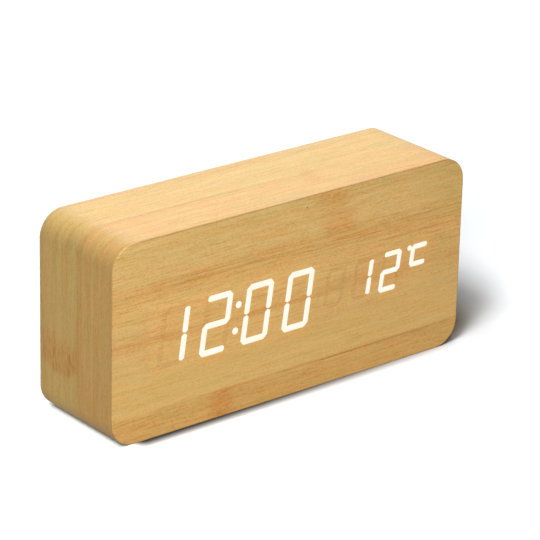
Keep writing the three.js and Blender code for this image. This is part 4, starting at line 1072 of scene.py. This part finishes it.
def make_light_guide(name, character):
    """A plate with a bar for each stroke: lit ones reach through the veneer, the others stop behind it."""
    w, h = character["width"] / 2 + GUIDE_MARGIN, character["height"] / 2 + GUIDE_MARGIN
    left = min([-w, *(x - radius - GUIDE_MARGIN for x, _, radius in character["dots"])])
    plate = slanted(character, [(left, -h), (w, -h), (w, h), (left, h)])
    body = slab([plate], GUIDE_FRONT, GUIDE_BACK)
    for outline in lit_outlines(character):
        body.joined(slab([outline], FRONT - LIT_PROUD, GUIDE_FRONT))
    for outline in unlit_outlines(character):
        body.joined(slab([outline], WOOD_FRONT, GUIDE_FRONT).painted(1))
    finished(blender_object(f"digit_{name}", body), ["lit_guide", "unlit_guide"],
             replaces=f"light_guide_{name}")


# Back cover, with its holes over the pieces behind them
COVER_INNER, COVER_OUTER, COVER_INSET = 17.0, 19.0, 4.15
HOLE_EDGE = 0.18
BUTTON_HOLE, SCREW_HOLE, MICROPHONE_HOLE = 3.2, 2.5, 0.6
SOUND_HOLE, SOUND_CIRCLE, SOUND_COUNT = 0.7, 2.8, 6
VENT_WIDTH, VENT_LENGTH, VENT_CORNER, VENT_PITCH = 1.2, 8.0, 0.55, 2.6
SOCKET_GAP = 0.4
# A cut goes this far past the face that it opens
PAST = 1.0


def cover_holes():
    buzzer, vents = node_middle("buzzer"), node_middle("thermistor")
    holes = [circle(node_middle(f"{name}_button"), BUTTON_HOLE, 40) for name in BUTTONS]
    holes += [circle(node_middle(f"cover_screw_{i}"), SCREW_HOLE, 32) for i in SCREWS]
    sounds = [buzzer, *circle(buzzer, SOUND_CIRCLE, SOUND_COUNT)]
    holes += [circle(middle, SOUND_HOLE, 16) for middle in sounds]
    holes.append(circle(node_middle("microphone"), MICROPHONE_HOLE, 16))
    for i in (-1, 0, 1):
        middle = (vents[0] + i * VENT_PITCH, vents[1])
        holes.append(rounded(VENT_WIDTH, VENT_LENGTH, VENT_CORNER, middle, 6))
    return [*holes, socket_outline(SOCKET_GAP)]


SOCKET_HALF_WIDTH, SOCKET_HALF_HEIGHT, SOCKET_BEVEL = 3.8, 1.5, 0.9


def socket_outline(grown=0.0, corner=0.35):
    """The mouth of the power socket, wide at the top and cut away at its lower corners."""
    middle = node_middle("power_socket_shell")
    w, h, bevel = SOCKET_HALF_WIDTH + grown, SOCKET_HALF_HEIGHT + grown, SOCKET_BEVEL + grown / 2
    sharp = [(-w + bevel, -h), (w - bevel, -h), (w, -h + bevel), (w, h), (-w, h), (-w, -h + bevel)]
    sharp = [middle + point for point in sharp]
    points = []
    for i, here in enumerate(sharp):
        before, after = sharp[i - 1] - here, sharp[(i + 1) % len(sharp)] - here
        a = here + before / np.linalg.norm(before) * corner
        b = here + after / np.linalg.norm(after) * corner
        points += [(1 - t) ** 2 * a + 2 * t * (1 - t) * here + t * t * b for t in (0, 0.25, 0.5, 0.75, 1)]
    return points


# The tub for the cells, and the door in its recess round the tub
TUB_LEFT, TUB_RIGHT, TUB_LOW, TUB_HIGH = 9.5, 59.95, 18.25, 51.75
TUB_WALL, TUB_CORNER, TUB_FLOOR, TUB_UNDER = 2.0, 1.0, 6.3, 4.8
RECESS_LEDGE, RECESS_FLOOR, DOOR_GAP, DOOR_INNER = 1.2, 17.35, 0.2, 17.4
RECESS_LEFT, RECESS_RIGHT = TUB_LEFT - RECESS_LEDGE, TUB_RIGHT + RECESS_LEDGE
DOOR_LEFT, DOOR_RIGHT = RECESS_LEFT + DOOR_GAP, RECESS_RIGHT - DOOR_GAP
CELL_HEIGHTS = (46.0, 35.0, 24.0)
BOSS_RADIUS, BOSS_FRONT, BOSS_BACK = 2.5, 11.0, 17.5
FINGER_NOTCH = [(0, 18), (4.6, 18), (5.0, 18.4), (5.2, 20), (0, 20)]
RIB_HEIGHTS, RIB_HALF, RIB_INSET, RIB_INNER, RIB_OUTER = (29.5, 40.5), 0.4, 5.4, 5.5, 9.3
DOOR_CORNER, DOOR_INNER_EDGE, DOOR_OUTER_EDGE = 0.5, 0.1, 0.3
# The door's tongues are level with the outer cells, and its latch and ridges with its middle
TONGUE_HEIGHTS, TONGUE_HALF, TONGUE_REACH, TONGUE_EDGE = CELL_HEIGHTS[::-2], 3.0, 1.2, 0.2
TONGUE_INNER, TONGUE_OUTER, DOOR_FOOT = 15.85, 16.85, 18.0
LATCH_HALF, LATCH_INNER, LATCH_START = 4.0, 15.4, 0.1
RIDGE_LEFT, RIDGE_WIDTH, RIDGE_PITCH, RIDGE_COUNT = 11.0, 0.6, 1.5, 4
RIDGE_HALF, RIDGE_RISE, RIDGE_SUNK, RIDGE_EDGE = 4.5, 0.15, 0.2, 0.14
# The tongues go through a way in from outside and then under the cover, and all slots are loose
LOOSE, WAY_IN_INNER, WAY_IN_OUTER = 0.2, 16.9, 19.5
SLOT_INNER, SLOT_OUTER, SLOT_REACH, LATCH_SLOT_INNER = 14.6, 17.0, 1.8, 15.2


def tub_outline(grown, corner=0.6):
    """The inside of the tub, grown on every side."""
    middle = ((TUB_LEFT + TUB_RIGHT) / 2, (TUB_LOW + TUB_HIGH) / 2)
    width, height = TUB_RIGHT - TUB_LEFT + 2 * grown, TUB_HIGH - TUB_LOW + 2 * grown
    return rounded(width, height, corner, middle, BLOCK_STEPS)


def make_back_cover():
    plate = slab([case_outline(COVER_INSET), *cover_holes()], COVER_INNER, COVER_OUTER, 0, HOLE_EDGE)
    tub = slab([tub_outline(TUB_WALL, TUB_CORNER)], TUB_UNDER, COVER_INNER + PAST)
    boss = [(0, BOSS_FRONT), (BOSS_RADIUS, BOSS_FRONT), (BOSS_RADIUS, BOSS_BACK), (0, BOSS_BACK)]
    bosses = [turned(boss, 24).moved(node_middle(f"board_screw_{i}")) for i in SCREWS]
    cavity = slab([tub_outline(0)], TUB_FLOOR, COVER_OUTER + PAST)
    recess = slab([tub_outline(RECESS_LEDGE)], RECESS_FLOOR, COVER_OUTER + PAST)
    notch = turned(FINGER_NOTCH, 48).moved((RECESS_LEFT, MIDDLE[1]))
    slots = []
    start, half = TUB_RIGHT - PAST, TONGUE_HALF + LOOSE
    for z in TONGUE_HEIGHTS:
        slots.append(bar(start, RECESS_RIGHT + SLOT_REACH, SLOT_INNER, SLOT_OUTER, z, half))
        slots.append(bar(start, RECESS_RIGHT, WAY_IN_INNER, WAY_IN_OUTER, z, half))
    slots.append(bar(RECESS_LEFT, TUB_LEFT + PAST, LATCH_SLOT_INNER, WAY_IN_OUTER, MIDDLE[1],
                     LATCH_HALF + LOOSE))
    left, right = TUB_LEFT + RIB_INSET, TUB_RIGHT - RIB_INSET
    ribs = [bar(left, right, RIB_INNER, RIB_OUTER, z, RIB_HALF) for z in RIB_HEIGHTS]
    made = worked("back_cover_moulding", plate,
                  joins(tub, *bosses) + cuts(cavity, recess, notch, *slots) + joins(*ribs))
    finished(made, ["black_plastic"], replaces="back_cover", crease=30)


def make_battery_door():
    plate = slab([tub_outline(RECESS_LEDGE - DOOR_GAP, DOOR_CORNER)], DOOR_INNER, COVER_OUTER,
                 DOOR_INNER_EDGE, DOOR_OUTER_EDGE)
    fittings = []
    for z in TONGUE_HEIGHTS:
        fittings.append(bar(TUB_RIGHT, DOOR_RIGHT, TONGUE_INNER, DOOR_FOOT, z, TONGUE_HALF))
        fittings.append(bar(TUB_RIGHT, DOOR_RIGHT + TONGUE_REACH, TONGUE_INNER, TONGUE_OUTER, z,
                            TONGUE_HALF, TONGUE_EDGE))
    fittings.append(bar(DOOR_LEFT + LATCH_START, TUB_LEFT, LATCH_INNER, DOOR_FOOT, MIDDLE[1], LATCH_HALF))
    for i in range(RIDGE_COUNT):
        left = RIDGE_LEFT + i * RIDGE_PITCH
        fittings.append(bar(left, left + RIDGE_WIDTH, COVER_OUTER - RIDGE_SUNK, COVER_OUTER + RIDGE_RISE,
                            MIDDLE[1], RIDGE_HALF, RIDGE_EDGE))
    finished(worked("battery_door_moulding", plate, joins(*fittings)), ["black_plastic"],
             replaces="battery_door", body="battery_door", crease=30)


# Buttons
BUTTON_TOP, BUTTON_RADIUS, BUTTON_EDGE, BUTTON_DISH = 19.7, 3.0, 0.5, 0.1
FLANGE_RADIUS, FLANGE_INNER, FLANGE_OUTER = 4.0, 16.05, 16.85
# The dish passes this radius at this share of its depth
DISH_RADIUS, DISH_SHARE = 1.4, 0.8
MARK_RISE, MARK_EDGE, TRIANGLE_RADIUS, DOT_RADIUS = 0.2, 0.08, 1.5, 0.7
TRIANGLE = circle((0, 0), TRIANGLE_RADIUS, 3)
MARKS = {
    "set": circle((0, 0), DOT_RADIUS, 20),
    "up": [(-z, x) for x, z in TRIANGLE],
    "down": [(z, -x) for x, z in TRIANGLE],
}


def make_button(name):
    """A dished cap with a flange behind the cover and a raised mark."""
    profile = [(0, FLANGE_INNER), (FLANGE_RADIUS, FLANGE_INNER), (FLANGE_RADIUS, FLANGE_OUTER),
               (BUTTON_RADIUS, FLANGE_OUTER)]
    rim = (BUTTON_RADIUS - BUTTON_EDGE, BUTTON_TOP - BUTTON_EDGE)
    profile += arc(rim, BUTTON_EDGE, 0, 90, 4)
    profile += [(DISH_RADIUS, BUTTON_TOP - DISH_SHARE * BUTTON_DISH), (0, BUTTON_TOP - BUTTON_DISH)]
    raised = slab([MARKS[name]], BUTTON_TOP - 2 * MARK_RISE, BUTTON_TOP + MARK_RISE, 0, MARK_EDGE)
    middle = node_middle(f"{name}_button")
    made = worked(f"{name}_button_cap", turned(profile, 40).moved(middle), joins(raised.moved(middle)))
    finished(made, ["button_plastic"], replaces=f"{name}_button",
             body=f"{name}_button", crease=40)


# Cover screws
SCREW_SEAT, SCREW_LENGTH, SHANK_LENGTH = 18.15, 8.0, 5.8
SCREW_RADIUS, SHANK_RADIUS, TIP_RADIUS = 2.3, 1.1, 0.37
RIM_HEIGHT, DOME_RUN, DOME_RISE, DOME_TOP = 0.35, 1.0, 0.8, 0.04
CROSS_LENGTH, CROSS_WIDTH, CROSS_FLOOR, CROSS_TOP = 2.7, 0.56, 0.5, 2.0
SCREW_TURNS = (12, 55, 33, 71)


def make_cover_screw(number):
    """A domed screw with a cross slot, left at its own turn."""
    rim = SCREW_SEAT + RIM_HEIGHT
    tip = SCREW_SEAT - SCREW_LENGTH
    profile = [(0, tip), (TIP_RADIUS, tip), (SHANK_RADIUS, SCREW_SEAT - SHANK_LENGTH),
               (SHANK_RADIUS, SCREW_SEAT), (SCREW_RADIUS, SCREW_SEAT)]
    profile += [(SCREW_RADIUS - DOME_RUN * (1 - math.cos(a)), rim + DOME_RISE * math.sin(a))
                for a in np.radians(np.linspace(0, 90, 7))]
    profile.append((0, rim + DOME_RISE + DOME_TOP))
    place = (node_middle(f"cover_screw_{number}"), SCREW_TURNS[number - 1])
    arms = []
    for along, across in ((CROSS_LENGTH, CROSS_WIDTH), (CROSS_WIDTH, CROSS_LENGTH)):
        x, z = along / 2, across / 2
        arm = slab([[(-x, -z), (x, -z), (x, z), (-x, z)]], SCREW_SEAT + CROSS_FLOOR, SCREW_SEAT + CROSS_TOP)
        arms.append(arm.moved(*place))
    made = worked(f"cover_screw_{number}_turned", turned(profile, 36).moved(*place), cuts(*arms))
    finished(made, ["black_steel"], replaces=f"cover_screw_{number}")


# Cells and their contacts
CELL_DEPTH, CELL_RADIUS, CELL_LENGTH = 11.75, 5.25, 44.5
JACKET, BAND, CAP = 0, 1, 2


def make_cell(number):
    """A jacketed cell with its band and knob at the plus end. The cells point left and right by turns."""
    node = f"battery_cell_{number}"
    low, high = node_box(node)
    r, end = CELL_RADIUS, CELL_LENGTH - 1.0
    profile = [
        (0, 0.15, CAP), (3.4, 0.15, CAP), (3.7, 0, JACKET), (r - 0.5, 0, JACKET), (r - 0.15, 0.12, JACKET),
        (r, 0.5, JACKET), (r, 30.0, JACKET), (r, 39.0, BAND), (r, end - 0.5, JACKET),
        (r - 0.15, end - 0.12, JACKET), (r - 0.5, end, JACKET), (r - 1.6, end, CAP),
        (r - 1.8, end - 0.15, CAP), (2.3, end - 0.15, CAP), (1.9, end + 0.1, CAP),
        (1.9, CELL_LENGTH - 0.25, CAP), (1.65, CELL_LENGTH, CAP), (0, CELL_LENGTH),
    ]
    start, way = (high[0], -1) if number % 2 else (low[0], 1)
    middle = CELL_HEIGHTS[number - 1]
    body = turned(profile, 40).placed(lambda x, y, z: (start + way * y, CELL_DEPTH + x * way, middle + z))
    finished(blender_object(f"{node}_jacketed", body), ["cell_jacket", "cell_band", "nickel"],
             replaces=node)


CONTACT_SEAT, CONTACT_FACE, CONTACT_SHARE, CONTACT_CORNER, CONTACT_EDGE = 0.05, 0.45, 0.66, 0.8, 0.06
TAB_HALF, TAB_REACH = 1.5, 2.5
SPRING_START, SPRING_LENGTH, SPRING_TURNS, SPRING_WIRE, SPRING_TIP_SHARE = 0.75, 4.5, 4, 0.3, 0.4
STEPS_A_TURN, WIRE_SIDES = 20, 8


def make_contact(name, wall, way, low, high, spring=None, tab=None):
    """A plated contact on an end wall of the tub, maybe with a spring inwards or a tab for a lead."""
    half = CONTACT_SHARE * CELL_RADIUS
    near, far = sorted((wall + way * CONTACT_SEAT, wall + way * CONTACT_FACE))
    middle = (CELL_DEPTH, (low + high) / 2)
    outline = rounded(2 * half, high - low + 2 * half, CONTACT_CORNER, middle, BLOCK_STEPS)
    body = slab([outline], near, far, CONTACT_EDGE, CONTACT_EDGE).placed(lambda x, y, z: (y, x, z))
    if tab is not None:
        foot = CELL_DEPTH - half + CONTACT_SEAT
        body.joined(bar(near, far, TUB_UNDER - TAB_REACH, foot, tab, TAB_HALF))
    if spring is not None:
        shares = np.linspace(0, 1, SPRING_TURNS * STEPS_A_TURN + 1)
        radii = (CONTACT_SHARE + (SPRING_TIP_SHARE - CONTACT_SHARE) * shares) * CELL_RADIUS
        angles = 2 * np.pi * SPRING_TURNS * shares
        run = wall + way * (SPRING_START + SPRING_LENGTH * shares)
        path = np.stack([run, CELL_DEPTH + radii * np.cos(angles), spring + radii * np.sin(angles)], 1)
        body.joined(drawn(path, SPRING_WIRE, WIRE_SIDES))
    finished(blender_object(f"{name}_pressed", body), ["nickel"], replaces=name, crease=40)


# Power socket
SOCKET_INNER, SOCKET_MOUTH, SHELL_WALL, SHELL_EDGE, INNER_CORNER = 11.0, 18.7, 0.35, 0.1, 0.2
BLOCK_GAP, BLADE_ROOT, BLADE_TIP, BLADE_HALF_WIDTH = 0.1, 13.0, 17.3, 2.3
BLADE_HALF, BLADE_EDGE, BLADE_SUNK = 0.4, 0.1, 0.1
STRIP_COUNT, FIRST_STRIP, STRIP_PITCH, STRIP_HALF, STRIP_RISE = 5, -1.35, 0.65, 0.15, 0.04
STRIP_SHORT = 0.2


def make_socket():
    shell = slab([socket_outline(), socket_outline(-SHELL_WALL, INNER_CORNER)], SOCKET_INNER, SOCKET_MOUTH,
                 0, SHELL_EDGE)
    finished(blender_object("power_socket_shell_folded", shell), ["nickel"], replaces="power_socket_shell")
    x, z = node_middle("power_socket_shell")
    tongue = slab([socket_outline(-SHELL_WALL - BLOCK_GAP, INNER_CORNER)], SOCKET_INNER, BLADE_ROOT)
    tongue.joined(bar(x - BLADE_HALF_WIDTH, x + BLADE_HALF_WIDTH, BLADE_ROOT - BLADE_SUNK, BLADE_TIP, z,
                      BLADE_HALF, BLADE_EDGE))
    for i in range(STRIP_COUNT):
        middle = x + FIRST_STRIP + i * STRIP_PITCH
        strip = bar(middle - STRIP_HALF, middle + STRIP_HALF, BLADE_ROOT + STRIP_SHORT,
                    BLADE_TIP - STRIP_SHORT, z - BLADE_HALF, STRIP_RISE)
        tongue.joined(strip.painted(1))
    finished(blender_object("power_socket_tongue_moulded", tongue), ["chip_body", "nickel"],
             replaces="power_socket_tongue")


make_bamboo_front()
make_bamboo_band()
make_fibreboard_ring()
for name, character in CHARACTERS.items():
    make_light_guide(name, character)
make_back_cover()
make_battery_door()
for name in BUTTONS:
    make_button(name)
for number in SCREWS:
    make_cover_screw(number)
for number in (1, 2, 3):
    make_cell(number)
upper, middle, lower = CELL_HEIGHTS
make_contact("contact_plus", TUB_LEFT, 1, upper, upper, tab=upper)
make_contact("contact_bridge_right", TUB_RIGHT, -1, middle, upper, spring=upper)
make_contact("contact_bridge_left", TUB_LEFT, 1, lower, middle, spring=middle)
make_contact("contact_minus", TUB_RIGHT, -1, lower, lower, spring=lower, tab=lower)
make_socket()

# Finishes of the CAD nodes that stay
KEPT = {
    "fibreboard": ["front_board"],
    "reflector_plastic": ["reflector"],
    "circuit_board": ["display_board", "control_board"],
    "steel": [f"{kind}_screw_{i}" for kind in ("display", "board") for i in SCREWS]
    + [f"{name}_switch_body" for name in BUTTONS],
    "header_plastic": ["display_header", "control_header"],
    "chip_body": ["microcontroller", "buzzer"] + [f"{name}_switch_plunger" for name in BUTTONS],
    "nickel": ["crystal", "microphone"],
    "capacitor_sleeve": ["capacitor"],
    "thermistor_glass": ["thermistor"],
    "ribbon_grey": ["ribbon_cable"],
    "red_lead": ["battery_lead_red"],
    "black_lead": ["battery_lead_black"],
}
for finish, kept in KEPT.items():
    for node in kept:
        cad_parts[node].data.materials.clear()
        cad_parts[node].data.materials.append(FINISH[finish])


# Camera, at the photograph's view
AZIMUTH, ELEVATION, ROLL = (math.radians(a) for a in (-39.795, 22.114, 1.482))
AIM, CAMERA_DISTANCE = Vector((6.22, 0, 36.84)), 994.41
SENSOR = 36
# In pixels of the photograph: its width, the focal length, and how far the lens axis lies off the middle
PIXELS, FOCAL_PIXELS, AXIS_OFFSET = 540, 2932.2, 0.5


def make_camera():
    back = Vector((math.sin(AZIMUTH) * math.cos(ELEVATION), -math.cos(AZIMUTH) * math.cos(ELEVATION),
                   math.sin(ELEVATION)))
    right = (-back).cross(Vector((0, 0, 1))).normalized()
    up = right.cross(-back)
    across = math.cos(ROLL) * right + math.sin(ROLL) * up
    over = -math.sin(ROLL) * right + math.cos(ROLL) * up
    data = bpy.data.cameras.new("camera")
    data.sensor_width = SENSOR
    data.lens = SENSOR * FOCAL_PIXELS / PIXELS
    data.shift_x, data.shift_y = -AXIS_OFFSET / PIXELS, AXIS_OFFSET / PIXELS
    data.clip_start, data.clip_end = 0.01, 20
    camera = bpy.data.objects.new("camera", data)
    bpy.context.scene.collection.objects.link(camera)
    place = (AIM + CAMERA_DISTANCE * back) * MM
    for i, axis in enumerate((across, over, back, place)):
        for j in range(3):
            camera.matrix_world[j][i] = axis[j]
    bpy.context.scene.camera = camera


# Floor, with its size in metres and the contact shade in millimetres
FLOOR_REACH, FLOOR_WHITE, FLOOR_BOUNCE = 4.0, 0.85, 0.28
FLOOR_TINT = (0.975, 1.0, 1.02, 1.0)
CONTACT_REACH, CONTACT_DEPTH = 5.0, 5.5
# The contact shade deepens over the first stretch, from the left, and fades over the second
CONTACT_GROWS, CONTACT_FADES = (-67, -61), (-90, 115)


def make_floor():
    """A white floor whose shade is deepest where the clock's near edges touch it."""
    floor = bpy.data.objects.new("floor", bpy.data.meshes.new("floor"))
    r = FLOOR_REACH
    floor.data.from_pydata([(-r, -r, 0), (r, -r, 0), (r, r, 0), (-r, r, 0)], [], [(0, 1, 2, 3)])
    bpy.context.scene.collection.objects.link(floor)
    nodes, shader = new_finish("white_floor", Specular_IOR_Level=0.0, Roughness=1.0)
    gap = nodes.value("AO", "ShaderNodeAmbientOcclusion", {"samples": 16}, Distance=CONTACT_REACH * MM)
    x = nodes.values("ShaderNodeSeparateXYZ", Vector=nodes.place())["X"] / MM
    depth = nodes.maths("MINIMUM", nodes.range(x, *CONTACT_GROWS, 0.0, CONTACT_DEPTH),
                        nodes.range(x, *CONTACT_FADES, CONTACT_DEPTH, 0.0))
    seen = nodes.value("Is Camera Ray", "ShaderNodeLightPath")
    shown = (gap**depth * FLOOR_WHITE - FLOOR_BOUNCE) * seen + FLOOR_BOUNCE
    nodes.feed(shader, "Base Color", nodes.tinted(1.0, nodes.colour(shown, shown, shown), FLOOR_TINT))
    floor.data.materials.append(FINISH["white_floor"])
    return floor


AMBIENT = 0.04


def make_world():
    """White where it is seen, also in gloss and glass, and a faint light from all round."""
    world = bpy.data.worlds.new("studio")
    bpy.context.scene.world = world
    world.use_nodes = True
    nodes = Nodes(world.node_tree)
    background = world.node_tree.nodes["Background"]
    rays = nodes.values("ShaderNodeLightPath")
    seen = nodes.largest(rays["Is Camera Ray"], rays["Is Glossy Ray"], rays["Is Transmission Ray"])
    nodes.feed(background, "Color", (1, 1, 1, 1))
    nodes.feed(background, "Strength", nodes.largest(seen, AMBIENT))


def lamp_collection(name, floor, state):
    """What a lamp shines on: the floor alone, or everything but the floor."""
    group = bpy.data.collections.new(name)
    group.objects.link(floor)
    group.collection_objects[0].light_linking.link_state = state
    return group


def make_lamp(name, kind, towards, strength, spread, lit):
    """A sun with a spread in degrees, or a softbox of that size in metres at the given place."""
    data = bpy.data.lights.new(name, kind)
    data.energy = strength
    lamp = bpy.data.objects.new(name, data)
    bpy.context.scene.collection.objects.link(lamp)
    if kind == "SUN":
        data.angle = math.radians(spread)
    else:
        data.size = spread
        lamp.location = towards
    lamp.rotation_euler = Vector(towards).to_track_quat("Z", "Y").to_euler()
    lamp.light_linking.receiver_collection = lit


bpy.context.scene.view_settings.view_transform = "Standard"
make_camera()
floor = make_floor()
make_world()
on_clock = lamp_collection("on_clock", floor, "EXCLUDE")
on_floor = lamp_collection("on_floor", floor, "INCLUDE")
make_lamp("key", "AREA", (-0.5, -0.7, 0.45), 7.3, 0.5, on_clock)
make_lamp("overhead", "SUN", (0.36, 0.02, 0.94), 2.19, 30, on_clock)
make_lamp("rear_fill", "SUN", (0.25, 0.95, 0.15), 0.87, 60, on_clock)
make_lamp("floor_low", "SUN", (-0.694, -0.583, 0.423), 1.19, 14, on_floor)
make_lamp("floor_key", "SUN", (-0.612, -0.354, 0.707), 1.47, 10, on_floor)
make_lamp("floor_soft", "SUN", (-0.539, -0.196, 0.819), 1.8, 12, on_floor)
make_lamp("floor_overhead", "SUN", (-0.372, 0.047, 0.927), 0.95, 20, on_floor)
